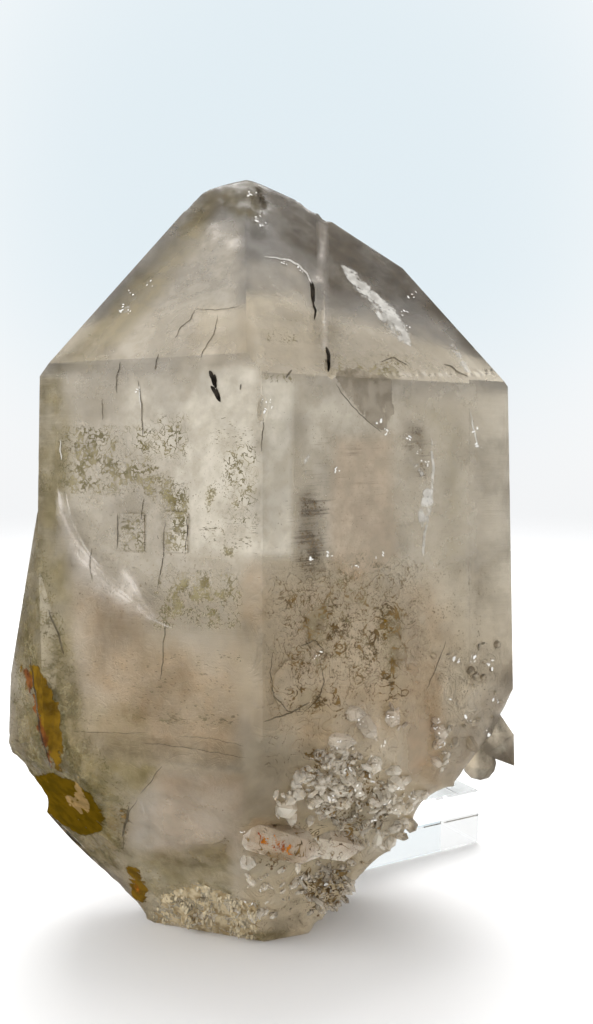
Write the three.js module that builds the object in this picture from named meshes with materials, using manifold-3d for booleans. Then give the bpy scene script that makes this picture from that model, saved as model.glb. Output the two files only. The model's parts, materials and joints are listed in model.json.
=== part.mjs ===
// A smoky quartz crystal standing on its broken, partly regrown base, leaning back on a clear block.
// Millimetres, +Z up, front on -Y. Flat crystal faces are cut with half-spaces at the angles of quartz,
// the base is broken off in slanting planes and shallow shell-shaped hollows, and a druse of small
// crystals has grown over the lower right of the break.
import * as THREE from "three";
import { ConvexGeometry } from "three/addons/geometries/ConvexGeometry.js";
import { mergeVertices } from "three/addons/utils/BufferGeometryUtils.js";
import Module from "manifold-3d";

const wasm = await Module();
wasm.setup();

// The crystal's own frame: its long axis leans back from the vertical
const LEAN_BACK = 6; // degrees
const AXIS_FOOT = new THREE.Vector3(0, 7, 0); // where the long axis meets the ground
const RHOMB_SLOPE = 51.8; // degrees between a tip face and the plane across the long axis
const PRISM_TAPER = 1; // degrees that each prism face leans in towards the tip
const TAPER_LEVEL = 85; // height along the axis at which the prism face distances are true
const ROUGH_BLOCK = 260; // side of the raw block that the faces are cut from

// Distance of each prism face from the long axis. An azimuth of 0 looks out to the front and 90 right.
const PRISM_FACES = [
  { azimuth: -27, distance: 34.4 },
  { azimuth: 33, distance: 27.2 },
  { azimuth: 93, distance: 37.6 },
  { azimuth: 153, distance: 28.5 },
  { azimuth: 213, distance: 35.5 },
  { azimuth: 273, distance: 45.1 },
];

// Height along the long axis at which each tip face crosses it
const TIP_FACES = [
  { azimuth: -27, height: 146.1 },
  { azimuth: 33, height: 133.9 },
  { azimuth: 93, height: 146.9 },
  { azimuth: 153, height: 135.0 },
  { azimuth: 213, height: 147.0 },
  { azimuth: 273, height: 157.6 },
];

// Steps of growth on the prism faces, raised a little. along is to the right of the face's middle line.
const GROWTH_PLATES = [
  { azimuth: -27, along: -13, height: 74.3, size: [5.4, 6], rise: 0.3 },
  { azimuth: -27, along: -4.2, height: 74.4, size: [4.6, 6.4], rise: 0.35 },
  { azimuth: 213, along: 13, height: 62, size: [21, 38], rise: 0.7 },
  { azimuth: 213, along: -5.5, height: 82, size: [8, 28], rise: 0.4 },
  { azimuth: 153, along: -7, height: 72, size: [17, 30], rise: 0.6 },
  { azimuth: 273, along: 6, height: 76, size: [9, 36], rise: 0.4 },
];
const PLATE_DEPTH = 3; // how far a plate reaches into the crystal

// Right of a line the front right face is a little lower, less and less down to where it fades out.
const TERRACE = { azimuth: 33, edgeX: 30.1, steeper: 0.6, fadesAt: 52 };

// A rounded plate of quartz raised on the front right face
const BOSS = { azimuth: 33, along: -18.6, height: 50.3, radius: 4.3, rise: 0.9, sides: 9 };

// A narrow groove down the front right tip face
const GROOVE = { top: [4.8, 21, 130.6], bottom: [4.8, -7.8, 106.2], width: 0.9 };

// Worn and broken surfaces, in standing position: upward is negative where a face looks down.
const TIP_WEAR = [
  { azimuth: -85, upward: 74, at: [-13, 21, 136.2] },
  { azimuth: 70, upward: 66, at: [-7, 21, 136.4] },
  { azimuth: -20, upward: 60, at: [-9.5, 19.5, 136.4] },
];
const BASE_BREAKS = [
  { azimuth: -20, upward: -31, at: [-16, 3.7, 0] }, // milky front
  { azimuth: -43, upward: -31, at: [-27.5, 8, 0.5] }, // glassy front left
  { azimuth: 22, upward: -27, at: [0, 2.4, 0] }, // front right, under the druse
  { azimuth: 95, upward: -34, at: [39, 4, 44] }, // right
  { azimuth: 78, upward: -41, at: [5.2, 3, 3.5] }, // right, at the foot
  { azimuth: 190, upward: -30, at: [-4, 19.4, 0] }, // back
  { azimuth: 150, upward: -38, at: [6, 21.6, 0] }, // back right, just clear of the block
  { azimuth: 255, upward: -42, at: [-27, 13, 0] }, // back left
];

// At the lower right the break is stepped: what lies beyond both of these planes is gone.
const STEPPED_BREAK = [
  { azimuth: 97, upward: -50, at: [28.5, -1, 31.4] },
  { azimuth: 85, upward: -30, at: [15.5, 0.5, 15] },
];

// A second crystal grown alongside bulges out at the lower left.
const LOBE_CORNERS = [
  [-45, 1, 78], [-44.5, 12, 84], [-40, 8, 80],
  [-47.8, 2, 62.5], [-50.7, 2, 49], [-50.7, 15, 51], [-43.5, -6.2, 58],
  [-51.2, 1, 37], [-50.5, 17, 35], [-43, -7.6, 40],
  [-49, 2, 29], [-42, -2, 18], [-30, 14, 8],
  [-20, 0, 60], [-20, 18, 60], [-20, -2, 20], [-20, 18, 14],
];

// Shell-shaped hollows. size gives half the length along the face, half its height and the depth.
const HOLLOWS = [
  { at: [-19, -13.6, 28], azimuth: -20, upward: -31, turn: -20, size: [9.5, 7.5, 1.3] }, // milky front
  { at: [-14, -6.3, 12], azimuth: -20, upward: -31, turn: 35, size: [8, 5.5, 0.9] },
  { at: [-38, -4, 25], azimuth: -43, upward: -31, turn: 25, size: [10, 6, 1.0] }, // glassy front left
  { at: [-29, -2, 11], azimuth: -43, upward: -31, turn: -30, size: [6, 8, 0.9] },
  { at: [26, 12, 28.4], azimuth: 97, upward: -50, turn: -15, size: [8, 6, 1.2] }, // right
  { at: [14.5, 12, 12], azimuth: 100, upward: -30, turn: 30, size: [7, 6, 1] },
  { at: [-2, 34, 26], azimuth: 190, upward: -30, turn: 15, size: [12, 9, 1.6] }, // back
  { at: [-20, 26, 17], azimuth: 190, upward: -30, turn: -25, size: [9, 8, 1.4] },
  { at: [-40, 14, 17], azimuth: 255, upward: -42, turn: 10, size: [8, 7, 1.2] },
  { at: [-6.2, 15.6, 133], azimuth: 33, upward: 38, turn: 60, size: [4.2, 2.4, 0.8] }, // beside the tip
  { at: [-13.5, 17, 134], azimuth: -27, upward: 38, turn: -40, size: [3.6, 2.2, 0.5] },
  { at: [5, 20.5, 130], azimuth: 70, upward: 60, turn: 0, size: [2, 1.6, 0.7] }, // on the ridge
  { at: [-5.2, -18.4, 97.5], azimuth: 3, upward: 0, turn: 80, size: [2.2, 1.2, 0.6] }, // front edge
  { at: [5.4, -9.6, 103.6], azimuth: 33, upward: 30, turn: 75, size: [2.6, 1.1, 1.2] }, // below the groove
  { at: [-44.6, 1, 101], azimuth: -55, upward: 25, turn: 20, size: [2.6, 1.8, 0.7] }, // left shoulder
];
const LARGE_HOLLOW = 4; // a hollow that reaches further than this has a rounder outline

// Larger crystals of the druse. x and z place each on the surface as seen from the front, and
// points is the direction of one end.
const LARGE_CRYSTALS = [
  { x: -3.6, z: 25.6, length: 16.5, width: 6, points: [0.96, -0.1, -0.27] },
  { x: 6.4, z: 21.4, length: 13, width: 7.4, points: [0.88, 0.3, -0.3] },
  { x: 9.1, z: 47.3, length: 4.6, width: 2.6, points: [0.9, -0.4, 0.1] },
  { x: 11.3, z: 44.8, length: 6, width: 3, points: [0.6, -0.3, -0.75] },
  { x: 15.8, z: 45.4, length: 4.6, width: 3, points: [0.1, -0.6, 0.75] },
  { x: 24.7, z: 41, length: 4.6, width: 2.8, points: [-0.5, -0.5, 0.7] },
  { x: 6.6, z: 43.4, length: 5.8, width: 2.6, points: [1, -0.3, 0] },
  { x: 7.5, z: 38.9, length: 5, width: 3, points: [0.3, -0.6, 0.7] },
  { x: 2.2, z: 38.1, length: 3.4, width: 1.7, points: [0.8, -0.5, 0.4] },
  { x: 24, z: 36.1, length: 3.6, width: 1.8, points: [-0.5, -0.4, 0.6] },
  { x: -8.4, z: 20.1, length: 4.8, width: 3, points: [-0.2, -0.5, 0.85] },
  { x: -1.9, z: 31.2, length: 5, width: 4, points: [-0.4, -0.8, 0.3] },
  { x: 14, z: 28.5, length: 5.6, width: 3, points: [-0.2, -0.6, 0.8] },
  { x: 15.4, z: 32.4, length: 5, width: 2.4, points: [0.7, -0.5, 0.5] },
  { x: 14.3, z: 20.8, length: 4.6, width: 2.1, points: [0.1, -0.3, 0.95] },
  { x: 17.2, z: 23, length: 3.8, width: 2.1, points: [0.6, -0.6, 0.5] },
  { x: 20.2, z: 28.8, length: 6, width: 2, points: [0.55, -0.45, 0.7] },
  { x: 19.4, z: 27, length: 4.4, width: 1.8, points: [0.3, -0.6, 0.7] },
  { x: 30.3, z: 38, length: 4, width: 1.8, points: [0.4, -0.6, -0.5] },
  { x: 8.5, z: 12, length: 5, width: 2.6, points: [0.7, -0.5, -0.4] },
  { x: 4.2, z: 10.5, length: 4.4, width: 2.2, points: [-0.3, -0.6, -0.6] },
];

// Patches where small crystals crowd together: ranges of x, z and length, and how many are tried
const DRUSE_PATCHES = [
  { x: [-1, 16], z: [26, 42], length: [2.6, 5], count: 38 },
  { x: [-9, 10], z: [4, 18], length: [2.2, 4.2], count: 20 },
  { x: [13, 27], z: [18, 34], length: [2.2, 4.6], count: 16 },
  { x: [22, 36], z: [38, 55], length: [1.6, 2.8], count: 9 },
];
const CRUST_PATCH = { x: [-24, -9], z: [2, 8.5], radius: [0.9, 1.8], count: 14 };
const RANDOM_SEED = 41;

// Small crystals that stand out of the break: a smoky one at the lower right and three at the back
const SIDE_CRYSTALS = [
  { foot: [30.5, 9, 43.5], tip: [39.4, 4, 31.6], width: 7.6 },
  { foot: [-24, 18, 22], tip: [-30, 33, 26], width: 5.6 },
  { foot: [-14, 24, 30], tip: [-19, 38.5, 35], width: 4.4 },
  { foot: [12, 26, 36], tip: [15.5, 42, 39], width: 5 },
];
const SIDE_LUMP = { at: [33.2, 5, 31.8], radius: 3.1 };

// The clear block behind the base
const BLOCK = { length: 32, depth: 24, thickness: 12, turn: 30.4, bevel: 0.4 };
const BLOCK_RIGHT_CORNER = new THREE.Vector2(39.4, 45.5); // front right corner on the ground

const radians = THREE.MathUtils.degToRad;
const up = new THREE.Vector3(0, 0, 1);
const unscaled = new THREE.Vector3(1, 1, 1);
const lean = new THREE.Matrix4().makeRotationX(-radians(LEAN_BACK)).setPosition(AXIS_FOOT);

/** Numbers between 0 and 1 that are the same on every run. */
function seededRandom(seed) {
  let state = seed;
  return () => {
    state = (state * 1664525 + 1013904223) % 4294967296;
    return state / 4294967296;
  };
}

/** Unit normal of a face that looks out at an azimuth and up by a number of degrees. */
function faceNormal(azimuth, upward) {
  const level = new THREE.Vector3(Math.sin(radians(azimuth)), -Math.cos(radians(azimuth)), 0);
  return level.multiplyScalar(Math.cos(radians(upward))).addScaledVector(up, Math.sin(radians(upward)));
}

/** Frame on a face: X to the right along it, Y up along it and Z out of it, then turned about Z. */
function faceFrame({ at, azimuth, upward, turn = 0 }) {
  const out = faceNormal(azimuth, upward);
  const right = new THREE.Vector3().crossVectors(up, out).normalize();
  const along = new THREE.Vector3().crossVectors(out, right);
  return new THREE.Matrix4()
    .makeBasis(right, along, out)
    .setPosition(...at)
    .multiply(new THREE.Matrix4().makeRotationZ(radians(turn)));
}

/** Frame on a prism face of the leaning crystal, by the place along the face and the height on the axis. */
function prismFaceFrame(azimuth, along, height) {
  const { distance } = PRISM_FACES.find((face) => face.azimuth === azimuth);
  const outAtHeight = distance + (TAPER_LEVEL - height) * Math.tan(radians(PRISM_TAPER));
  const at = faceNormal(azimuth, 0)
    .multiplyScalar(outAtHeight)
    .addScaledVector(faceNormal(azimuth + 90, 0), along)
    .setZ(height);
  return lean.clone().multiply(faceFrame({ at: at.toArray(), azimuth, upward: PRISM_TAPER }));
}

/** A closed three.js geometry, placed by a matrix, as a solid. */
function solidFrom(geometry, matrix = new THREE.Matrix4()) {
  const bare = geometry.index ? geometry.toNonIndexed() : geometry;
  const placed = new THREE.BufferGeometry()
    .setAttribute("position", bare.getAttribute("position").clone())
    .applyMatrix4(matrix);
  const merged = mergeVertices(placed, 1e-4);
  const corners = merged.index.array;
  const triangles = [];
  for (let i = 0; i < corners.length; i += 3) {
    const [a, b, c] = corners.slice(i, i + 3);
    if (a !== b && b !== c && a !== c) triangles.push(a, b, c);
  }
  const mesh = new wasm.Mesh({
    numProp: 3,
    vertProperties: merged.attributes.position.array,
    triVerts: new Uint32Array(triangles),
  });
  return new wasm.Manifold(mesh);
}

/** A solid's surface as a three.js geometry. */
function geometryFrom(solid) {
  const { vertProperties, triVerts } = solid.getMesh();
  return new THREE.BufferGeometry()
    .setAttribute("position", new THREE.BufferAttribute(new Float32Array(vertProperties), 3))
    .setIndex(new THREE.BufferAttribute(new Uint32Array(triVerts), 1));
}

/** All that lies beyond a plane, as a big block whose near side is the plane. */
function beyond(point, normal) {
  const turn = new THREE.Quaternion().setFromUnitVectors(up, normal);
  const centre = point.clone().addScaledVector(normal, ROUGH_BLOCK / 2);
  const matrix = new THREE.Matrix4().compose(centre, turn, unscaled);
  return solidFrom(new THREE.BoxGeometry(2 * ROUGH_BLOCK, 2 * ROUGH_BLOCK, ROUGH_BLOCK), matrix);
}

/** All that lies beyond a plane that is given by a direction and a point. */
function beyondFace({ azimuth, upward, at }) {
  return beyond(new THREE.Vector3(...at), faceNormal(azimuth, upward));
}

/** Cuts a solid with each of several planes. */
function cutBack(solid, planes) {
  return planes.reduce((rest, plane) => rest.subtract(beyondFace(plane)), solid);
}

/** The faceted crystal in its own frame, with the long axis on +Z. */
function quartzBody() {
  const raw = solidFrom(new THREE.BoxGeometry(ROUGH_BLOCK, ROUGH_BLOCK, 2 * ROUGH_BLOCK));
  const sides = PRISM_FACES.map(({ azimuth, distance }) => ({
    azimuth,
    upward: PRISM_TAPER,
    at: faceNormal(azimuth, 0).multiplyScalar(distance).setZ(TAPER_LEVEL).toArray(),
  }));
  const tips = TIP_FACES.map(({ azimuth, height }) => ({
    azimuth,
    upward: 90 - RHOMB_SLOPE,
    at: [0, 0, height],
  }));
  return cutBack(raw, [...sides, ...tips]);
}

/** A thin plate of growth on a prism face. */
function growthPlate({ azimuth, along, height, size, rise }) {
  const slab = new THREE.BoxGeometry(...size, PLATE_DEPTH).translate(0, 0, rise - PLATE_DEPTH / 2);
  return solidFrom(slab, prismFaceFrame(azimuth, along, height));
}

/** The rounded plate raised on the front right face. */
function boss() {
  const { azimuth, along, height, radius, rise, sides } = BOSS;
  const profile = [
    new THREE.Vector2(0, -PLATE_DEPTH),
    new THREE.Vector2(radius, -PLATE_DEPTH),
    new THREE.Vector2(radius, 0.55 * rise),
    new THREE.Vector2(0.8 * radius, rise),
    new THREE.Vector2(0, 1.15 * rise),
  ];
  const dome = new THREE.LatheGeometry(profile, sides).rotateX(Math.PI / 2);
  return solidFrom(dome, prismFaceFrame(azimuth, along, height));
}

/** Lowers the right hand strip of the front right face. */
function terrace(solid) {
  const { azimuth, edgeX, steeper, fadesAt } = TERRACE;
  const point = new THREE.Vector3().setFromMatrixPosition(prismFaceFrame(azimuth, 0, fadesAt));
  const normal = faceNormal(azimuth, PRISM_TAPER + steeper).transformDirection(lean);
  const rightOfEdge = beyond(new THREE.Vector3(edgeX, 0, fadesAt), new THREE.Vector3(1, 0, 0));
  return solid.subtract(beyond(point, normal).intersect(rightOfEdge));
}

/** The groove's cutter: a square bar set on edge along the groove. */
function grooveBar() {
  const top = new THREE.Vector3(...GROOVE.top);
  const bottom = new THREE.Vector3(...GROOVE.bottom);
  const turn = new THREE.Quaternion().setFromUnitVectors(up, top.clone().sub(bottom).normalize());
  const middle = top.clone().add(bottom).multiplyScalar(0.5);
  const bar = new THREE.BoxGeometry(GROOVE.width, GROOVE.width, top.distanceTo(bottom));
  return solidFrom(bar.rotateZ(Math.PI / 4), new THREE.Matrix4().compose(middle, turn, unscaled));
}

/** A bowl-shaped cutter of unit size: its floor is at -1 and its rim passes the unit circle at 0. */
function bowl(sides) {
  const profile = [[0, -1], [0.6, -0.64], [1.25, 0.56], [0, 2]];
  const points = profile.map(([x, y]) => new THREE.Vector2(x, y));
  return new THREE.LatheGeometry(points, sides).rotateX(Math.PI / 2);
}

/** Takes the shell-shaped hollows out of a solid. */
function hollowOut(solid) {
  return HOLLOWS.reduce((rest, hollow) => {
    const matrix = faceFrame(hollow).scale(new THREE.Vector3(...hollow.size));
    const sides = hollow.size[0] > LARGE_HOLLOW ? 16 : 9;
    return rest.subtract(solidFrom(bowl(sides), matrix));
  }, solid);
}

/** A six-sided quartz crystal with a point at each end, centred on a place. */
function crystalAt(centre, direction, length, width) {
  const radius = width / 2;
  const shoulder = Math.max(length / 2 - 1.2 * radius, 0.15 * length);
  const profile = [
    new THREE.Vector2(0, -length / 2),
    new THREE.Vector2(radius, -shoulder),
    new THREE.Vector2(0.94 * radius, shoulder),
    new THREE.Vector2(0, length / 2),
  ];
  const turn = new THREE.Quaternion().setFromUnitVectors(up, direction.clone().normalize());
  const shape = new THREE.LatheGeometry(profile, 6).rotateX(Math.PI / 2);
  return solidFrom(shape, new THREE.Matrix4().compose(centre, turn, unscaled));
}

/** A crystal between its hidden foot and its tip. */
function sideCrystal({ foot, tip, width }) {
  const start = new THREE.Vector3(...foot);
  const end = new THREE.Vector3(...tip);
  const middle = start.clone().add(end).multiplyScalar(0.5);
  return crystalAt(middle, end.clone().sub(start), start.distanceTo(end), width);
}

/** Finds the surface of a solid behind a point of the front view, or nothing where there is none. */
function frontSurface(solid) {
  const mesh = new THREE.Mesh(geometryFrom(solid), new THREE.MeshBasicMaterial());
  const intoPicture = new THREE.Vector3(0, 1, 0);
  return (x, z) => {
    const ray = new THREE.Raycaster(new THREE.Vector3(x, -ROUGH_BLOCK, z), intoPicture);
    return ray.intersectObject(mesh)[0];
  };
}

/** The larger crystals of the druse, each lying in or standing on the surface. */
function largeCrystals(surfaceAt) {
  return LARGE_CRYSTALS.map(({ x, z, length, width, points }) => {
    const { point, face } = surfaceAt(x, z);
    const direction = new THREE.Vector3(...points).normalize();
    const standing = Math.max(direction.dot(face.normal), 0);
    const outward = 0.25 * length * standing - 0.15 * width;
    return crystalAt(point.clone().addScaledVector(face.normal, outward), direction, length, width);
  });
}

/** The small crystals of one patch, leaning every way out of the surface. */
function patchCrystals(surfaceAt, patch, between) {
  const grown = [];
  for (let i = 0; i < patch.count; i++) {
    const hit = surfaceAt(between(patch.x), between(patch.z));
    const tilt = new THREE.Vector3(between([-1, 1]), between([-0.6, 0.2]), between([-0.6, 1]));
    const length = between(patch.length);
    const width = length * between([0.4, 0.65]);
    if (!hit) continue;
    const direction = hit.face.normal.clone().multiplyScalar(0.8).add(tilt).normalize();
    const centre = hit.point.clone().addScaledVector(direction, 0.15 * length);
    grown.push(crystalAt(centre, direction, length, width));
  }
  return grown;
}

/** The lumps of crust along the front foot. */
function crustLumps(surfaceAt, between) {
  const lumps = [];
  for (let i = 0; i < CRUST_PATCH.count; i++) {
    const hit = surfaceAt(between(CRUST_PATCH.x), between(CRUST_PATCH.z));
    const lump = new THREE.IcosahedronGeometry(between(CRUST_PATCH.radius), 0).rotateX(between([0, Math.PI]));
    if (hit) lumps.push(solidFrom(lump, new THREE.Matrix4().setPosition(hit.point)));
  }
  return lumps;
}

/** Everything that has grown on the bare crystal: druse, crust and the crystals on its sides. */
function overgrowth(bare) {
  const surfaceAt = frontSurface(bare);
  const random = seededRandom(RANDOM_SEED);
  const between = ([low, high]) => low + (high - low) * random();
  const lumpPlace = new THREE.Matrix4().setPosition(...SIDE_LUMP.at);
  return [
    ...SIDE_CRYSTALS.map(sideCrystal),
    solidFrom(new THREE.IcosahedronGeometry(SIDE_LUMP.radius, 1), lumpPlace),
    ...largeCrystals(surfaceAt),
    ...DRUSE_PATCHES.flatMap((patch) => patchCrystals(surfaceAt, patch, between)),
    ...crustLumps(surfaceAt, between),
  ];
}

/** The crystal leaned back, broken, regrown and standing on the ground. */
function standingCrystal() {
  const join = (whole, piece) => whole.add(piece);
  const body = terrace(solidFrom(geometryFrom(quartzBody()), lean));
  const lobe = solidFrom(new ConvexGeometry(LOBE_CORNERS.map((corner) => new THREE.Vector3(...corner))));
  const grown = GROWTH_PLATES.map(growthPlate).reduce(join, body.add(lobe).add(boss()));
  const [upperStep, lowerStep] = STEPPED_BREAK.map(beyondFace);
  const broken = cutBack(grown, [...TIP_WEAR, ...BASE_BREAKS])
    .subtract(upperStep.intersect(lowerStep))
    .subtract(grooveBar());
  const bare = hollowOut(broken);
  const ground = beyond(new THREE.Vector3(), up.clone().negate());
  return overgrowth(bare).reduce(join, bare).subtract(ground);
}

/** The clear block, lying on the ground behind the crystal, as a geometry. */
function clearBlock() {
  const { length, depth, thickness, turn, bevel } = BLOCK;
  const outline = new THREE.Shape([
    new THREE.Vector2(bevel, bevel),
    new THREE.Vector2(length - bevel, bevel),
    new THREE.Vector2(length - bevel, depth - bevel),
    new THREE.Vector2(bevel, depth - bevel),
  ]);
  const options = { depth: thickness - 2 * bevel, bevelThickness: bevel, bevelSize: bevel, bevelSegments: 1 };
  return new THREE.ExtrudeGeometry(outline, options)
    .translate(-length, 0, bevel)
    .rotateZ(radians(turn))
    .translate(BLOCK_RIGHT_CORNER.x, BLOCK_RIGHT_CORNER.y, 0);
}

const part = new THREE.Group();

function addPart(name, solid, material) {
  const mesh = new THREE.Mesh(geometryFrom(solid), material);
  mesh.name = name;
  part.add(mesh);
}

const smoky = new THREE.MeshStandardMaterial({ color: 0xaea391, roughness: 0.15, metalness: 0 });
const acrylic = new THREE.MeshStandardMaterial({ color: 0xe9edee, roughness: 0.05, metalness: 0 });
addPart("quartz_crystal", standingCrystal(), smoky);
addPart("clear_block", solidFrom(clearBlock()), acrylic);

// The origin is on the ground, under the middle of the whole.
const bounds = new THREE.Box3().setFromObject(part);
const middle = bounds.getCenter(new THREE.Vector3());
part.position.set(-middle.x, -middle.y, -bounds.min.z);

export default part;
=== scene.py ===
"""A smoky quartz crystal on its broken, overgrown base, with the clear block that it leans against.

The crystal is a copy of its solid, joined with a finer druse, divided into a fine grid and given the
relief of the real surface. Stains, veils, cracks and inner fractures are thin sheets on or in it, and
so are painted light, painted shade and painted glints. What the photograph shows is placed by its
pixel: a line of sight is followed to the surface, and on into the quartz where the thing lies deeper.
"""

import json
import logging
import math
import random
from collections.abc import Iterable
from dataclasses import dataclass, field
from enum import Enum

import bmesh
import bpy
import numpy as np
from mathutils import Euler, Matrix, Vector, noise
from mathutils.bvhtree import BVHTree
from mathutils.kdtree import KDTree

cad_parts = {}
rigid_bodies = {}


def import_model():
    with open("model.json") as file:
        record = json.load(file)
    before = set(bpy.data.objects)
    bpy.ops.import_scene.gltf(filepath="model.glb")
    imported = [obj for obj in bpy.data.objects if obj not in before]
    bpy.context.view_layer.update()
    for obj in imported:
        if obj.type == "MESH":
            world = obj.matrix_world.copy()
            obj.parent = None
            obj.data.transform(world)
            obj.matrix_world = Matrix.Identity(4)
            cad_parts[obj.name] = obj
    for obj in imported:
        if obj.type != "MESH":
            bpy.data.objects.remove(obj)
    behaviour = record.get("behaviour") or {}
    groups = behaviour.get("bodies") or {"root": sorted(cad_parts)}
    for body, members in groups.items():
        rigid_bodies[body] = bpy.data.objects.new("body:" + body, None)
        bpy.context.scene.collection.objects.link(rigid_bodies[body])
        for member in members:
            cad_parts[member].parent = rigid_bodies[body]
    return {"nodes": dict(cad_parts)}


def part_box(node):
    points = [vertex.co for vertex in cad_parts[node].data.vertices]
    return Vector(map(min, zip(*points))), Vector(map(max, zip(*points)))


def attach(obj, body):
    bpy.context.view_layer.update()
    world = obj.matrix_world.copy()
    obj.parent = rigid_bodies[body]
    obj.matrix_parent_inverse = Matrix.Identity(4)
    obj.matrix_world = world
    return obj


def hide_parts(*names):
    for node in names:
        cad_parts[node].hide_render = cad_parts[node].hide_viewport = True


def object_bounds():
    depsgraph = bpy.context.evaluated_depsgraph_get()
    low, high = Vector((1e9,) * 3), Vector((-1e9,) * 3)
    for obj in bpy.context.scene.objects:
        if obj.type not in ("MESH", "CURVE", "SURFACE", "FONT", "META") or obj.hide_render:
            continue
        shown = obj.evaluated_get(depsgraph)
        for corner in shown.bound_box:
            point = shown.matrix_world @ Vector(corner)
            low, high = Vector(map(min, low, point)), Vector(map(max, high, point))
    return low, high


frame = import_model()
CAD_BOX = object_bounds()

MM = 0.001
ROOT = "root"
QUARTZ_IOR = 1.544
LEAN_BACK = math.radians(6)
DUSTY_ROUGHNESS = 0.75
BODY_MASKS = ("milk", "iron", "etch", "lined", "hollow_dirt_and_shade")
Pixel = tuple[float, float]
Colour = tuple[float, float, float]
log = logging.getLogger("quartz")


@dataclass(frozen=True)
class Photograph:
    """The camera of the photograph, in the row frame, and the pixels of its picture."""

    width: int = 593
    height: int = 1024
    focal_pixels: float = 1250.0
    sensor: float = 36.0
    distance: float = 234.55
    eye_height: float = 107.0
    eye_right: float = 5.85
    pitch: float = 7.6

    def eye(self) -> Vector:
        """The camera's place, in metres."""
        return Vector((self.eye_right, -self.distance, self.eye_height)) * MM

    def turn(self) -> Matrix:
        """The camera's rotation, looking along +Y and down by the pitch."""
        return Euler((math.radians(90 - self.pitch), 0, 0)).to_matrix()

    def ray(self, u: float, v: float) -> Vector:
        """Direction of the line of sight through a pixel.

        Args:
            u: Pixel to the right from the left edge.
            v: Pixel down from the top edge.

        Returns:
            A unit vector in the row frame.
        """
        across = (u - self.width / 2) / self.focal_pixels
        down = (v - self.height / 2) / self.focal_pixels
        return (self.turn() @ Vector((across, -down, -1))).normalized()

    def pixels(self, points: np.ndarray) -> np.ndarray:
        """Pixels at which points of the row frame are seen.

        Args:
            points: One point in each row, in metres.

        Returns:
            One pixel in each row.
        """
        seen = (points - np.array(self.eye())) @ np.array(self.turn())
        scale = self.focal_pixels / -seen[:, 2]
        return np.stack((self.width / 2 + seen[:, 0] * scale, self.height / 2 - seen[:, 1] * scale), 1)

    def sees(self, places: np.ndarray, normals: np.ndarray) -> np.ndarray:
        """Whether the surface at each place, with its outward normal, is turned towards the camera."""
        return np.einsum("ij,ij->i", normals, np.array(self.eye()) - places) > 0

    def camera(self) -> bpy.types.Object:
        """Makes the scene's camera."""
        data = bpy.data.cameras.new("photograph")
        data.sensor_width = self.sensor
        data.lens = self.focal_pixels / self.height * self.sensor
        data.clip_start = 0.01
        data.clip_end = 50
        camera = bpy.data.objects.new("photograph", data)
        camera.location = self.eye()
        camera.rotation_euler = self.turn().to_euler()
        bpy.context.collection.objects.link(camera)
        bpy.context.scene.camera = camera
        return camera


PHOTOGRAPH = Photograph()


def deselect_all() -> None:
    """Leaves edit mode and nothing selected."""
    if bpy.context.object and bpy.context.object.mode != "OBJECT":
        bpy.ops.object.mode_set(mode="OBJECT")
    bpy.ops.object.select_all(action="DESELECT")


def activate(piece: bpy.types.Object) -> None:
    """Makes a piece the only selected and the active one."""
    deselect_all()
    piece.select_set(True)
    bpy.context.view_layer.objects.active = piece


def join(pieces: list[bpy.types.Object], name: str) -> bpy.types.Object:
    """Joins pieces into one.

    Args:
        pieces: The pieces, of which the first one is kept.
        name: Name of the whole.

    Returns:
        The joined piece.
    """
    activate(pieces[0])
    for piece in pieces:
        piece.select_set(True)
    if len(pieces) > 1:
        bpy.ops.object.join()
    whole = bpy.context.object
    whole.name = name
    return whole


def copy_piece(model: bpy.types.Object, name: str) -> bpy.types.Object:
    """Copies a piece, with a mesh of its own and without its parent.

    Args:
        model: The piece that is copied.
        name: Name of the copy.

    Returns:
        The copy.
    """
    piece = model.copy()
    piece.data = model.data.copy()
    piece.parent = None
    piece.name = name
    bpy.context.collection.objects.link(piece)
    return piece


def scatter(model: bpy.types.Object, places: Iterable[Matrix | None]) -> list[bpy.types.Object]:
    """Lays copies of a model at places and deletes the model.

    Args:
        model: The piece that is copied.
        places: Size, turn and place of each copy; None is left out.

    Returns:
        The copies, each with its own mesh.
    """
    copies = []
    for place in places:
        if place is not None:
            piece = copy_piece(model, model.name)
            piece.data.transform(place)
            copies.append(piece)
    bpy.data.objects.remove(model)
    return copies


def select_vertices(piece: bpy.types.Object, chosen: np.ndarray) -> None:
    """Selects only the chosen vertices of a piece and leaves it in edit mode.

    Args:
        piece: The piece.
        chosen: Whether each vertex is chosen.
    """
    activate(piece)
    bpy.ops.object.mode_set(mode="EDIT")
    bpy.ops.mesh.select_mode(type="VERT")
    bpy.ops.mesh.select_all(action="DESELECT")
    bpy.ops.object.mode_set(mode="OBJECT")
    piece.data.vertices.foreach_set("select", chosen)
    bpy.ops.object.mode_set(mode="EDIT")


def keep_faces(piece: bpy.types.Object, kept: np.ndarray) -> None:
    """Deletes the faces of a piece that aren't kept.

    Args:
        piece: The piece.
        kept: Whether each face is kept.
    """
    activate(piece)
    bpy.ops.object.mode_set(mode="EDIT")
    bpy.ops.mesh.select_mode(type="FACE")
    bpy.ops.mesh.select_all(action="DESELECT")
    bpy.ops.object.mode_set(mode="OBJECT")
    piece.data.polygons.foreach_set("select", np.logical_not(kept))
    bpy.ops.object.mode_set(mode="EDIT")
    bpy.ops.mesh.delete(type="FACE")
    bpy.ops.mesh.select_mode(type="VERT")
    bpy.ops.object.mode_set(mode="OBJECT")


def faces_with(mesh: bpy.types.Mesh, chosen: np.ndarray | list[bool]) -> np.ndarray:
    """Whether each face of a mesh has any of the chosen vertices."""
    return np.array([any(chosen[corner] for corner in face.vertices) for face in mesh.polygons], bool)


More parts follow.
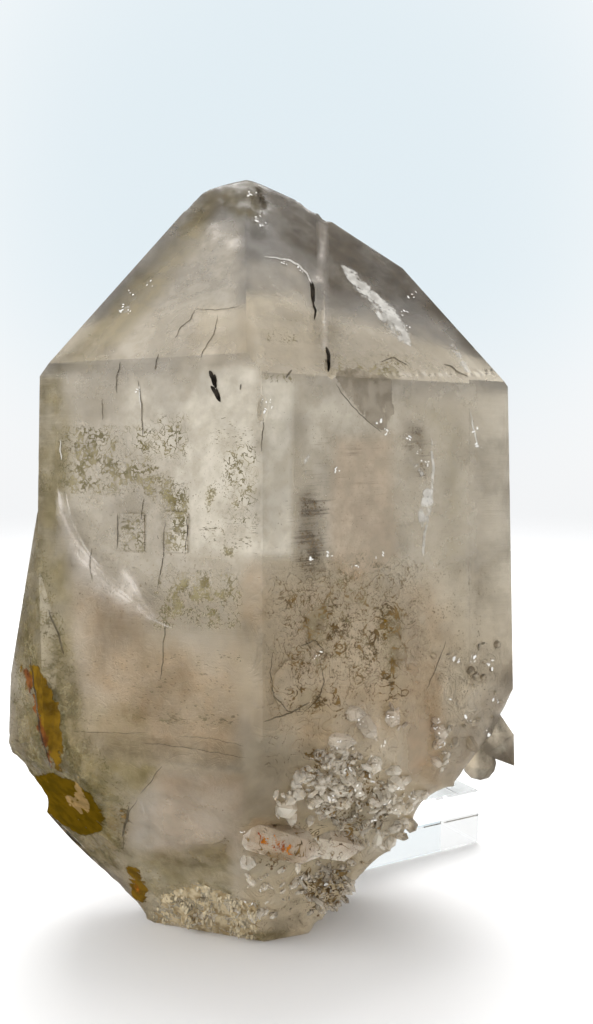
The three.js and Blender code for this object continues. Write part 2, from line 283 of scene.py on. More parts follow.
def move_vertices(mesh: bpy.types.Mesh, places: np.ndarray) -> None:
    """Moves the vertices of a mesh to new places, one in each row."""
    mesh.vertices.foreach_set("co", places.astype(np.float32).ravel())


def give_materials(piece: bpy.types.Object, *materials: bpy.types.Material) -> None:
    """Gives a piece its materials in place of the ones that it had."""
    piece.data.materials.clear()
    for material in materials:
        piece.data.materials.append(material)


def finish_piece(piece: bpy.types.Object) -> bpy.types.Object:
    """Keeps a piece in the box of the solids and lets it ride on the object's one body.

    Args:
        piece: The piece.

    Returns:
        The same piece.
    """
    low, high = (np.array(corner) for corner in CAD_BOX)
    move_vertices(piece.data, np.clip(vertex_arrays(piece.data)[0], low, high))
    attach(piece, ROOT)
    return piece


def limited(value: float) -> float:
    """Keeps a value between 0 and 1."""
    return min(max(value, 0), 1)


def raised(value: float) -> float:
    """Brings a value from the range of -1 to 1 into that of 0 to 1."""
    return value * 0.5 + 0.5


class Board:
    """A node tree with short calls that add nodes and join them."""

    def __init__(self, tree: bpy.types.NodeTree) -> None:
        """Takes the tree that the nodes are added to."""
        self.tree = tree

    def fill(self, node: bpy.types.Node, inputs: dict) -> None:
        """Fills inputs of a node.

        Args:
            node: The node.
            inputs: Value or output socket for each input, by its name or number.
        """
        for key, value in inputs.items():
            if isinstance(value, bpy.types.NodeSocket):
                self.tree.links.new(value, node.inputs[key])
            else:
                node.inputs[key].default_value = value

    def add(self, kind: str, inputs: dict | None = None, **settings) -> bpy.types.Node:
        """Adds a node.

        Args:
            kind: The node's type, without the words ShaderNode.
            inputs: Value or output socket for each input, by its name or number.
            **settings: Properties of the node.

        Returns:
            The new node.
        """
        node = self.tree.nodes.new(f"ShaderNode{kind}")
        for name, value in settings.items():
            setattr(node, name, value)
        self.fill(node, inputs or {})
        return node

    def place(self) -> bpy.types.NodeSocket:
        """Adds the place on the piece and returns it."""
        return self.add("TexCoord").outputs["Object"]

    def math(self, operation: str, first, second=0.0, clamp: bool = False) -> bpy.types.NodeSocket:
        """Adds arithmetic on two values and returns its output."""
        return self.add("Math", {0: first, 1: second}, operation=operation, use_clamp=clamp).outputs[0]

    def ramp(self, value, low: float, high: float, to_low=0.0, to_high=1.0) -> bpy.types.NodeSocket:
        """Adds a smooth step from low to high and returns its output."""
        inputs = {"Value": value, "From Min": low, "From Max": high, "To Min": to_low, "To Max": to_high}
        return self.add("MapRange", inputs, interpolation_type="SMOOTHSTEP").outputs["Result"]

    def mix(self, factor, first, second) -> bpy.types.NodeSocket:
        """Adds a mix of two colours and returns its output."""
        return self.add("Mix", {0: factor, 6: first, 7: second}, data_type="RGBA").outputs[2]

    def noise(self, vector, scale, detail=4.0, roughness=0.55, distortion=0.0) -> bpy.types.NodeSocket:
        """Adds a noise pattern and returns its value."""
        inputs = {"Vector": vector, "Scale": scale, "Detail": detail, "Roughness": roughness,
                  "Distortion": distortion}
        return self.add("TexNoise", inputs).outputs["Fac"]

    def attribute(self, name: str) -> bpy.types.NodeSocket:
        """Adds one of the mesh's own values and returns it."""
        return self.add("Attribute", attribute_name=name, attribute_type="GEOMETRY").outputs["Fac"]

    def group(self, tree: bpy.types.NodeTree, inputs: dict) -> bpy.types.Node:
        """Places a node group with its inputs filled."""
        return self.add("Group", inputs, node_tree=tree)


def new_material(name: str) -> tuple[bpy.types.Material, Board, bpy.types.Node]:
    """Starts a material.

    Args:
        name: Name of the material.

    Returns:
        The material, its board and its shader.
    """
    material = bpy.data.materials.new(name)
    material.use_nodes = True
    return material, Board(material.node_tree), material.node_tree.nodes["Principled BSDF"]


def socket_kind(value: float | tuple | None) -> str:
    """Kind of the socket that holds a value: None stands for a vector and a tuple for a colour."""
    if value is None:
        return "NodeSocketVector"
    return "NodeSocketColor" if isinstance(value, tuple) else "NodeSocketFloat"


def new_group(name: str, inputs: dict, outputs: dict) -> tuple[Board, dict, bpy.types.Node]:
    """Starts a node group.

    Args:
        name: Name of the group.
        inputs: Default of each input: a number, a colour, or None for a vector.
        outputs: A number or a colour for each output, which tells its kind.

    Returns:
        Its board, its inputs' sockets by name, and its output node.
    """
    tree = bpy.data.node_groups.new(name, "ShaderNodeTree")
    for key, value in inputs.items():
        socket = tree.interface.new_socket(key, in_out="INPUT", socket_type=socket_kind(value))
        if value is not None:
            socket.default_value = value
    for key, value in outputs.items():
        tree.interface.new_socket(key, in_out="OUTPUT", socket_type=socket_kind(value))
    entry = tree.nodes.new("NodeGroupInput")
    sockets = {key: entry.outputs[key] for key in inputs}
    return Board(tree), sockets, tree.nodes.new("NodeGroupOutput")


def growth_lines_group() -> bpy.types.NodeTree:
    """Level lines of growth across the crystal's long axis, as a height."""
    board, at, result = new_group("growth_lines", {"Vector": None, "Spread": 0.06}, {"Height": 0.0})
    leaned = board.add("Mapping", {"Vector": at["Vector"], "Rotation": (LEAN_BACK, 0, 0)}).outputs[0]
    split = board.add("SeparateXYZ", {0: leaned})
    across = [board.math("MULTIPLY", split.outputs[axis], at["Spread"]) for axis in "XY"]
    squeezed = board.add("CombineXYZ", {"X": across[0], "Y": across[1], "Z": split.outputs["Z"]}).outputs[0]
    fine = board.math("MULTIPLY", board.noise(squeezed, 2600, 2), 0.35)
    coarse = board.math("MULTIPLY", board.noise(squeezed, 620, 3), 0.65)
    board.fill(result, {"Height": board.math("ADD", fine, coarse)})
    return board.tree


def specks_group() -> bpy.types.NodeTree:
    """Specks where a grain rises over a limit: Cover is about the share of the area that they take."""
    defaults = {"Grain": 0.5, "Patch": 0.0, "Strength": 1.0, "Cover": 0.3, "Edge": 0.03, "Uneven": 1.0}
    board, at, result = new_group("specks", defaults, {"Mask": 0.0})
    share = board.math("ADD", 1.0, board.math("MULTIPLY", at["Patch"], at["Uneven"]))
    local = board.math("MULTIPLY", board.math("MULTIPLY", at["Cover"], at["Strength"]), share)
    limit = board.math("SUBTRACT", 0.65, board.math("MULTIPLY", local, 0.3))
    mask = board.math("DIVIDE", board.math("SUBTRACT", at["Grain"], limit), at["Edge"], clamp=True)
    board.fill(result, {"Mask": board.math("MULTIPLY", mask, board.ramp(at["Strength"], 0.0, 0.3))})
    return board.tree


def laid_over_group() -> bpy.types.NodeTree:
    """One coloured layer laid over another: the colour and the cover of the two together."""
    black = (0.0, 0.0, 0.0, 1.0)
    defaults = {"Under": black, "Under Cover": 0.0, "Over": black, "Over Cover": 0.0}
    board, at, result = new_group("laid_over", defaults, {"Color": black, "Cover": 0.0})
    open_share = board.math("SUBTRACT", 1.0, at["Over Cover"])
    cover = board.math("ADD", at["Over Cover"], board.math("MULTIPLY", at["Under Cover"], open_share))
    share = board.math("DIVIDE", at["Over Cover"], board.math("MAXIMUM", cover, 0.0001), clamp=True)
    board.fill(result, {"Color": board.mix(share, at["Under"], at["Over"]), "Cover": cover})
    return board.tree


def crevices_group() -> bpy.types.NodeTree:
    """Short winding crevices: where they are, as a mask, and lumps between them, as a height."""
    board, at, result = new_group("crevices", {"Vector": None, "Scale": 330.0, "Cover": 0.5},
                                  {"Dirt": 0.0, "Height": 0.0})
    level = board.noise(at["Vector"], at["Scale"], 3, 0.5, distortion=1.4)
    ridge = board.math("ABSOLUTE", board.math("SUBTRACT", level, 0.5))
    narrow = board.ramp(ridge, 0.003, 0.016, 1, 0)
    spread = board.noise(at["Vector"], 420, 2)
    limit = board.math("SUBTRACT", 0.66, board.math("MULTIPLY", at["Cover"], 0.2))
    here = board.ramp(board.math("SUBTRACT", spread, limit), 0, 0.04)
    dirt = board.math("MULTIPLY", narrow, here)
    height = board.math("SUBTRACT", board.ramp(ridge, 0.0, 0.12), board.math("MULTIPLY", dirt, 0.6))
    board.fill(result, {"Dirt": dirt, "Height": height})
    return board.tree


@dataclass
class Groups:
    """The node groups that several finishes share."""

    growth_lines: bpy.types.NodeTree = field(default_factory=growth_lines_group)
    specks: bpy.types.NodeTree = field(default_factory=specks_group)
    laid_over: bpy.types.NodeTree = field(default_factory=laid_over_group)
    crevices: bpy.types.NodeTree = field(default_factory=crevices_group)


@dataclass(frozen=True)
class QuartzNodes:
    """The nodes that colour, roughness and relief of the quartz share."""

    board: Board
    groups: Groups
    place: bpy.types.NodeSocket
    upwards: bpy.types.NodeSocket
    masks: dict[str, bpy.types.NodeSocket]
    crevices: bpy.types.Node


@dataclass(frozen=True)
class QuartzFinish:
    """Clear to smoky quartz with a glassy natural surface, browner and rougher towards its broken base."""

    name: str = "smoky_quartz"
    transmission: float = 0.9
    upper: Colour = (0.92, 0.88, 0.79)
    lower: Colour = (0.74, 0.63, 0.47)
    clouds: Colour = (0.42, 0.38, 0.34)
    milk: Colour = (0.97, 0.95, 0.93)
    iron: Colour = (0.42, 0.25, 0.05)
    # Colour of the dirt in crevices, and of the dirt and painted shade in hollows.
    dirt: Colour = (0.16, 0.095, 0.04)
    roughness: float = 0.22
    lower_roughness: float = 0.32
    roughness_wander: tuple[float, float] = (-0.04, 0.06)
    milk_roughness: float = 0.25
    etch_roughness: float = 0.12
    relief_strength: float = 0.6
    relief_height: float = 0.00022
    smoke: Colour = (0.866, 0.84, 0.785)
    smoke_per_metre: float = 120.0
    stained_height: tuple[float, float] = (0.02, 0.075)
    clear_height: tuple[float, float] = (0.092, 0.118)

    def material(self, groups: Groups) -> bpy.types.Material:
        """Makes the material.

        Args:
            groups: The shared node groups.

        Returns:
            The material.
        """
        material, board, shader = new_material(self.name)
        place = board.place()
        masks = {name: board.attribute(name) for name in BODY_MASKS}
        upwards = board.add("SeparateXYZ", {0: place}).outputs["Z"]
        crevices = board.group(groups.crevices, {"Vector": place, "Cover": masks["etch"]})
        nodes = QuartzNodes(board, groups, place, upwards, masks, crevices)
        bump = board.add("Bump", {
            "Height": self.relief(nodes), "Strength": self.relief_strength, "Distance": self.relief_height
        })
        board.fill(shader, {
            "Base Color": self.colour(nodes), "Roughness": self.rough(nodes), "IOR": QUARTZ_IOR,
            "Transmission Weight": self.transmission, "Normal": bump.outputs["Normal"],
        })
        volume = board.add("VolumeAbsorption", {"Color": (*self.smoke, 1), "Density": self.smoke_per_metre})
        board.fill(material.node_tree.nodes["Material Output"], {"Volume": volume.outputs["Volume"]})
        return material

    def colour(self, nodes: QuartzNodes) -> bpy.types.NodeSocket:
        """Lays the tints of the quartz over each other.

        Args:
            nodes: The nodes that the parts of the finish share.

        Returns:
            The colour's socket.
        """
        board, place, masks = nodes.board, nodes.place, nodes.masks
        low_down = board.ramp(nodes.upwards, *self.stained_height)
        tint = board.mix(low_down, (*self.lower, 1), (*self.upper, 1))
        cloud = board.ramp(board.noise(place, 55, 3, 0.5), 0.4, 0.6, 0.0, 0.16)
        tint = board.mix(cloud, tint, (*self.clouds, 1))
        ragged = board.ramp(board.noise(place, 200, 5, 0.6), 0.38, 0.6, 0.55, 1.0)
        tint = board.mix(board.math("MULTIPLY", masks["milk"], ragged), tint, (*self.milk, 1))
        specks = {"Grain": board.noise(place, 900, 3, 0.62), "Strength": masks["iron"], "Cover": 1.0,
                  "Edge": 0.06, "Uneven": 0.0}
        stained = board.group(nodes.groups.specks, specks).outputs["Mask"]
        tint = board.mix(board.math("MULTIPLY", stained, masks["iron"]), tint, (*self.iron, 1))
        dirt = board.math("MULTIPLY", nodes.crevices.outputs["Dirt"], masks["etch"])
        # Dirt in the crevices, and dirt with painted shade in the hollows low down.
        hollow_patches = board.ramp(board.noise(place, 500, 4, 0.6), 0.38, 0.55, 0.0, 0.5)
        dirt_and_shade_in_hollows = board.math("MULTIPLY", masks["hollow_dirt_and_shade"], hollow_patches)
        return board.mix(board.math("MAXIMUM", dirt, dirt_and_shade_in_hollows), tint, (*self.dirt, 1))

    def rough(self, nodes: QuartzNodes) -> bpy.types.NodeSocket:
        """Adds the roughness, which is greater low down and where the quartz is milky or etched.

        Args:
            nodes: The nodes that the parts of the finish share.

        Returns:
            The roughness's socket.
        """
        board, masks = nodes.board, nodes.masks
        rough = board.ramp(nodes.upwards, *self.clear_height, self.lower_roughness, self.roughness)
        wander = board.ramp(board.noise(nodes.place, 90), 0.35, 0.65, *self.roughness_wander)
        rough = board.math("ADD", rough, wander)
        rough = board.math("ADD", rough, board.math("MULTIPLY", masks["milk"], self.milk_roughness))
        etched = board.math("MULTIPLY", masks["etch"], self.etch_roughness)
        return board.math("ADD", rough, etched, clamp=True)

    def relief(self, nodes: QuartzNodes) -> bpy.types.NodeSocket:
        """Adds the growth lines, pits and lumps that are too fine for the mesh.

        Args:
            nodes: The nodes that the parts of the finish share.

        Returns:
            Socket of their height.
        """
        board, masks = nodes.board, nodes.masks
        lines = board.group(nodes.groups.growth_lines, {"Vector": nodes.place}).outputs["Height"]
        pitted = board.math("ADD", masks["etch"], 0.2)
        pits = board.math("MULTIPLY", board.noise(nodes.place, 1300, 4, 0.7), pitted)
        lumps = board.math("MULTIPLY", nodes.crevices.outputs["Height"], masks["etch"])
        uneven = board.math("ADD", pits, lumps)
        return board.math("ADD", board.math("MULTIPLY", lines, masks["lined"]), uneven)


@dataclass(frozen=True)
class Pattern:
    """A noise pattern. One with a distortion is turned into winding lines."""

    scale: float
    detail: float
    roughness: float
    stretch: tuple[float, float, float] = (1.0, 1.0, 1.0)
    distortion: float = 0.0

    def build(self, board: Board, place: bpy.types.NodeSocket) -> bpy.types.NodeSocket:
        """Adds the pattern, whose mean is about a half.

        Args:
            board: Board of the material.
            place: Socket of the place on the piece.

        Returns:
            The pattern's socket.
        """
        if self.stretch != (1.0, 1.0, 1.0):
            place = board.add("Mapping", {"Vector": place, "Scale": self.stretch}).outputs[0]
        level = board.noise(place, self.scale, self.detail, self.roughness, self.distortion)
        if not self.distortion:
            return level
        gap = board.math("ABSOLUTE", board.math("SUBTRACT", level, 0.5))
        return board.math("SUBTRACT", 0.7, board.math("MULTIPLY", gap, 4))


class Grain(Enum):
    """How a deposit breaks up."""

    SOFT = Pattern(150, 5, 0.65)
    FINE = Pattern(3000, 4, 0.7)
    COARSE = Pattern(800, 4, 0.62)
    DASHED = Pattern(3000, 3, 0.62, (0.4, 0.4, 1.3))
    LINED = Pattern(5000, 2, 0.6, (0.03, 0.03, 1.0))
    SCRIBBLED = Pattern(1000, 3, 0.5, distortion=0.4)
    WINDING = Pattern(330, 3, 0.5, distortion=1.4)


@dataclass(frozen=True)
class Coating:
    """A thin deposit, veil, fracture, painted light, painted shade or painted glint: coloured where its mask
    covers it.
    """

    name: str
    colour: Colour
    second: Colour
    grain: Grain
    opacity: float = 0.9
    cover: float = 1.0
    uneven: float = 0.5
    edge: float = 0.05

    def mask(self, board: Board, groups: Groups, pattern, patch) -> bpy.types.NodeSocket:
        """Adds the share that the coating covers.

        Args:
            board: Board of the material.
            groups: The shared groups.
            pattern: Socket of the grain's pattern.
            patch: Socket from -1 to 1 that says where it gathers.

        Returns:
            The share's socket.
        """
        strength = board.attribute(self.name)
        if self.grain is Grain.SOFT:
            mask = board.math("MULTIPLY", strength, board.ramp(pattern, 0.38, 0.62, 1 - self.uneven, 1.0))
        else:
            inputs = {"Grain": pattern, "Patch": patch, "Strength": strength, "Cover": self.cover,
                      "Edge": self.edge, "Uneven": self.uneven}
            mask = board.group(groups.specks, inputs).outputs["Mask"]
        return board.math("MULTIPLY", mask, self.opacity)


class DepositOrPaintedLight(Enum):
    """What lies on the surface of the quartz or in it, and the light, shade and glints painted on it."""

    # Pale haze, partly painted light: it lightens zones where more light comes through the quartz.
    HAZE_AND_LIGHT = Coating("pale_haze_and_painted_light", (0.61, 0.555, 0.465), (0.53, 0.48, 0.395), Grain.SOFT, 0.6, uneven=0.35)
    # Painted light: bright patches where the view runs through the quartz to a lit back face.
    PAINTED_LIGHT = Coating("painted_light", (0.84, 0.79, 0.68), (0.75, 0.7, 0.59), Grain.SOFT, 0.6, uneven=0.4)
    WARM = Coating("warm_tinge", (0.46, 0.275, 0.135), (0.38, 0.25, 0.14), Grain.SOFT, 0.55)
    # Smoky tint and painted shade: it darkens the tip, the rims of the outline and other dark zones.
    SMOKE_AND_SHADE = Coating("smoky_tint_and_painted_shade", (0.06, 0.047, 0.034), (0.1, 0.08, 0.055), Grain.SOFT, 0.65)
    # Olive tint and painted shade: it darkens the left lobe, the base and the rims at the left.
    OLIVE_AND_SHADE = Coating("olive_tint_and_painted_shade", (0.12, 0.094, 0.026), (0.22, 0.175, 0.075), Grain.SOFT, 0.75)
    VEIL = Coating("milky_veil", (0.92, 0.85, 0.78), (0.8, 0.73, 0.65), Grain.SOFT, 0.8, uneven=0.75)
    STREAKS = Coating("dark_streaks", (0.06, 0.045, 0.035), (0.13, 0.1, 0.08), Grain.LINED,
                      0.38, 0.45, 0.6, 0.2)
    OLIVE_DUST = Coating("olive_dust", (0.19, 0.155, 0.065), (0.3, 0.26, 0.14), Grain.FINE,
                         0.62, 0.42, 0.8, 0.12)
    SCRIBBLES = Coating("scribbled_dust", (0.15, 0.13, 0.07), (0.3, 0.26, 0.16), Grain.SCRIBBLED,
                        0.75, 0.35, 1.0)
    DASHES = Coating("dashed_dust", (0.1, 0.085, 0.05), (0.2, 0.17, 0.1), Grain.DASHED,
                     0.55, 0.25, 1.0, 0.04)
    DARK_SPECKS = Coating("dark_specks", (0.08, 0.055, 0.03), (0.2, 0.15, 0.09), Grain.FINE,
                          0.85, 0.2, 1.0, 0.03)
    CREVICES = Coating("brown_crevices", (0.09, 0.055, 0.022), (0.2, 0.125, 0.045), Grain.WINDING,
                       0.85, 0.25, 1.2)
    OCHRE = Coating("ochre_film", (0.19, 0.108, 0.01), (0.1, 0.056, 0.006), Grain.COARSE,
                    0.95, 1.5, 0.3, 0.08)
    OLIVE_FILM = Coating("olive_film", (0.1, 0.058, 0.003), (0.066, 0.04, 0.002), Grain.COARSE,
                         0.98, 1.9, 0.25, 0.15)
    CLAY = Coating("pale_clay", (0.29, 0.19, 0.08), (0.18, 0.12, 0.05), Grain.COARSE, 0.95, 1.2, 0.5)
    PALE_CRUST = Coating("pale_crust", (0.6, 0.5, 0.33), (0.32, 0.24, 0.13), Grain.COARSE, 0.9, 0.8, 0.6)
    RED_IRON = Coating("red_iron", (0.2, 0.035, 0.01), (0.38, 0.13, 0.015), Grain.FINE, 0.95, 0.9, 0.5)
    RUST = Coating("dark_rust", (0.11, 0.035, 0.012), (0.2, 0.07, 0.02), Grain.COARSE, 0.85, 1.0, 0.5)
    BRIGHT = Coating("bright_fracture", (0.74, 0.72, 0.67), (0.5, 0.48, 0.44), Grain.COARSE,
                     0.78, 1.6, 0.4, 0.3)
    # Painted glints: white flakes that stand in for the sparkle of small facets.
    PAINTED_GLINT = Coating("painted_glints", (1.0, 0.99, 0.96), (0.85, 0.84, 0.82), Grain.COARSE, 0.95, 1.9, 0.2)
    WEDGE = Coating("glassy_wedge", (0.2, 0.165, 0.12), (0.38, 0.33, 0.26), Grain.COARSE,
                    0.5, 1.5, 0.3, 0.12)
    CRACK = Coating("dark_crack", (0.05, 0.04, 0.028), (0.12, 0.1, 0.07), Grain.FINE, 0.72, 1.5, 0.3, 0.12)
    BLACK = Coating("black_inclusion", (0.006, 0.005, 0.004), (0.03, 0.025, 0.02), Grain.COARSE,
                    0.95, 2.0, 0.2)


def film_material(name: str, deposits: Iterable[DepositOrPaintedLight], groups: Groups) -> bpy.types.Material:
    """Makes the material of a film that is clear where nothing lies or is painted on it.

    Args:
        name: Name of the material.
        deposits: What lies there and the light and shade painted there, each laid over the ones before it.
        groups: The shared groups.

    Returns:
        The material.
    """
    material, board, shader = new_material(name)
    place = board.place()
    patch = board.ramp(board.noise(place, 300, 3, 0.6), 0.4, 0.6, -1.0, 1.0)
    tone = board.ramp(board.noise(place, 420, 3), 0.38, 0.62)
    patterns: dict[Grain, bpy.types.NodeSocket] = {}
    colour, cover = (0.5, 0.5, 0.5, 1.0), 0.0
    for deposit in deposits:
        coating = deposit.value
        if coating.grain not in patterns:
            patterns[coating.grain] = coating.grain.value.build(board, place)
        mask = coating.mask(board, groups, patterns[coating.grain], patch)
        shade = board.mix(tone, (*coating.colour, 1), (*coating.second, 1))
        inputs = {"Under": colour, "Under Cover": cover, "Over": shade, "Over Cover": mask}
        laid = board.group(groups.laid_over, inputs)
        colour, cover = laid.outputs["Color"], laid.outputs["Cover"]
    board.fill(shader, {
        "Base Color": colour, "Alpha": cover, "Roughness": DUSTY_ROUGHNESS, "Specular IOR Level": 0.0
    })
    return material


@dataclass(frozen=True)
class Region:
    """A patch of the photograph's picture, by its outline in pixels."""

    outline: tuple[Pixel, ...]
    soft: float = 8.0
    strength: float = 1.0

    def at(self, pixels: np.ndarray) -> np.ndarray:
        """Strength of the patch at pixels.

        Args:
            pixels: One pixel in each row.

        Returns:
            A value from 0 outside to the full strength well inside, for each pixel.
        """
        corners = np.array(self.outline, float)
        nearest = np.full(len(pixels), 1e9)
        inside = np.zeros(len(pixels), bool)
        for start, end in zip(corners, np.roll(corners, -1, 0)):
            side = end - start
            along = np.clip(((pixels - start) @ side) / max(side @ side, 1e-9), 0, 1)
            gap = np.linalg.norm(pixels - start - along[:, None] * side, axis=1)
            nearest = np.minimum(nearest, gap)
            rises = (start[1] > pixels[:, 1]) != (end[1] > pixels[:, 1])
            drop = end[1] - start[1] if end[1] != start[1] else 1e-9
            crossing = start[0] + (pixels[:, 1] - start[1]) * side[0] / drop
            inside ^= rises & (pixels[:, 0] < crossing)
        return np.where(inside, np.clip(nearest / self.soft, 0, 1), 0) * self.strength

    def pick(self, draw: random.Random) -> Pixel:
        """Draws a pixel from the smallest upright box around the patch."""
        low, high = np.min(self.outline, axis=0), np.max(self.outline, axis=0)
        return draw.uniform(low[0], high[0]), draw.uniform(low[1], high[1])

    def holds(self, pixel: Pixel) -> bool:
        """Whether a pixel lies in the patch."""
        return bool(self.at(np.array([pixel]))[0] > 0)


@dataclass(frozen=True)
class Blob:
    """A round patch in space, for the sides that the photograph doesn't show. Millimetres."""

    centre: tuple[float, float, float]
    radius: float
    strength: float = 1.0

    def at(self, points: np.ndarray) -> np.ndarray:
        """Strength of the patch at points, one in each row, in metres."""
        gap = np.linalg.norm(points / MM - np.array(self.centre), axis=1)
        return np.clip(1.6 * (1 - gap / self.radius), 0, 1) * self.strength


def box_region(left: float, top: float, right: float, bottom: float, soft=8.0, strength=1.0) -> Region:
    """A patch with level and upright sides."""
    return Region(((left, top), (right, top), (right, bottom), (left, bottom)), soft, strength)


class CrystalFront:
    """Finds places on and in the crystal from pixels of the photograph."""

    def __init__(self, solid: bpy.types.Object) -> None:
        """Takes the crystal's solid."""
        graph = bpy.context.evaluated_depsgraph_get()
        self.tree = BVHTree.FromObject(solid, graph)

    def surface(self, u: float, v: float) -> tuple[Vector, Vector] | None:
        """Finds the surface at a pixel.

        Args:
            u: Pixel to the right.
            v: Pixel down.

        Returns:
            The point and the outward normal, or None beside the crystal.
        """
        point, normal, _, _ = self.tree.ray_cast(PHOTOGRAPH.eye(), PHOTOGRAPH.ray(u, v))
        return (point, normal) if point else None

    def inside(self, u: float, v: float, depth: float) -> Vector | None:
        """Finds the point seen at a pixel at a depth in the quartz.

        Args:
            u: Pixel to the right.
            v: Pixel down.
            depth: Distance along the bent line of sight, in millimetres.

        Returns:
            The point, or None beside the crystal.
        """
        found = self.surface(u, v)
        if not found:
            return None
        point, normal = found
        sight = PHOTOGRAPH.ray(u, v)
        ratio = 1 / QUARTZ_IOR
        facing = -normal.dot(sight)
        bent = ratio * sight + (ratio * facing - math.sqrt(1 - ratio**2 * (1 - facing**2))) * normal
        return point + bent.normalized() * depth * MM


def set_values(mesh: bpy.types.Mesh, name: str, values: np.ndarray) -> None:
    """Stores one number for each vertex of a mesh."""
    layer = mesh.attributes.get(name) or mesh.attributes.new(name, "FLOAT", "POINT")
    layer.data.foreach_set("value", values.astype(np.float32))


def vertex_arrays(mesh: bpy.types.Mesh) -> tuple[np.ndarray, np.ndarray]:
    """Places and normals of a mesh's vertices, one in each row, with broad faces counting for more."""
    places = np.empty(len(mesh.vertices) * 3, np.float32)
    mesh.vertices.foreach_get("co", places)
    directions = np.empty(len(mesh.polygons) * 3, np.float32)
    mesh.polygons.foreach_get("normal", directions)
    areas = np.empty(len(mesh.polygons), np.float32)
    mesh.polygons.foreach_get("area", areas)
    counts = np.empty(len(mesh.polygons), np.int32)
    mesh.polygons.foreach_get("loop_total", counts)
    corners = np.empty(len(mesh.loops), np.int32)
    mesh.loops.foreach_get("vertex_index", corners)
    weighted = directions.reshape(-1, 3).astype(float) * areas[:, None] / MM**2
    normals = np.zeros((len(mesh.vertices), 3))
    np.add.at(normals, corners, np.repeat(weighted, counts, axis=0))
    lengths = np.linalg.norm(normals, axis=1)
    return places.reshape(-1, 3).astype(float), normals / np.maximum(lengths, 1e-12)[:, None]


@dataclass(frozen=True)
class Lamp:
    """A square soft lamp that points at a target. Metres and watts."""

    name: str
    place: tuple[float, float, float]
    target: tuple[float, float, float]
    side: float
    power: float

    def build(self) -> None:
        """Builds the lamp."""
        data = bpy.data.lights.new(self.name, "AREA")
        data.size = self.side
        data.energy = self.power
        lamp = bpy.data.objects.new(self.name, data)
        lamp.location = self.place
        towards = Vector(self.target) - Vector(self.place)
        lamp.rotation_euler = towards.to_track_quat("-Z", "Y").to_euler()
        bpy.context.collection.objects.link(lamp)


@dataclass
class Studio:
    """Pale floor, bright surroundings and soft lamps. Metres."""

    floor_radius: float = 0.6
    floor_fade: float = 0.1
    floor_drop: float = 0.00005
    floor_colour: Colour = (0.88, 0.88, 0.88)
    front_colour: Colour = (0.85, 0.85, 0.85)
    side_colour: Colour = (1.0, 1.0, 1.0)
    far_colour: Colour = (0.76, 0.85, 0.9)
    under_colour: Colour = (0.9, 0.91, 0.92)
    far_direction: tuple[float, float, float] = (0.0, 0.992, 0.12)
    lamps: tuple[Lamp, ...] = (
        Lamp("lamp_above", (0.0, 0.35, 0.75), (0, 0, 0.05), 0.6, 6),
        Lamp("lamp_left", (-0.7, -0.25, 0.45), (0, 0, 0.07), 0.5, 2.5),
    )

    def build(self) -> None:
        """Builds the floor, the surroundings and the lamps."""
        self.floor()
        self.surroundings()
        for lamp in self.lamps:
            lamp.build()

    def floor(self) -> None:
        """Builds a round floor that fades out towards its rim."""
        deselect_all()
        place = (0, 0, -self.floor_drop)
        bpy.ops.mesh.primitive_circle_add(vertices=96, radius=self.floor_radius, fill_type="NGON",
                                          location=place)
        floor = bpy.context.object
        floor.name = "floor"
        material, board, shader = new_material("floor_white")
        nodes = material.node_tree.nodes
        nodes.remove(shader)
        away = board.add("VectorMath", {0: board.place()}, operation="LENGTH").outputs["Value"]
        fade = board.ramp(away, self.floor_fade, self.floor_radius)
        white = board.add("BsdfDiffuse", {"Color": (*self.floor_colour, 1)})
        clear = board.add("BsdfTransparent")
        mixed = board.add("MixShader", {0: fade, 1: white.outputs[0], 2: clear.outputs[0]})
        board.fill(nodes["Material Output"], {"Surface": mixed.outputs[0]})
        give_materials(floor, material)

    def surroundings(self) -> None:
        """Makes the world: white at the sides, cool grey far behind and darker towards the front."""
        world = bpy.data.worlds.new("surroundings")
        world.use_nodes = True
        bpy.context.scene.world = world
        board = Board(world.node_tree)
        direction = board.add("TexCoord").outputs["Generated"]
        split = board.add("SeparateXYZ", {0: direction})
        nearness = board.add("VectorMath", {0: direction, 1: self.far_direction}, operation="DOT_PRODUCT")
        front = board.ramp(split.outputs["Y"], -0.6, 0.5)
        colour = board.mix(front, (*self.front_colour, 1), (*self.side_colour, 1))
        far = board.ramp(nearness.outputs["Value"], 0.93, 0.998)
        colour = board.mix(far, colour, (*self.far_colour, 1))
        under = board.ramp(split.outputs["Z"], 0.06, -0.17)
        colour = board.mix(under, colour, (*self.under_colour, 1))
        board.fill(world.node_tree.nodes["Background"], {"Color": colour, "Strength": 1.0})


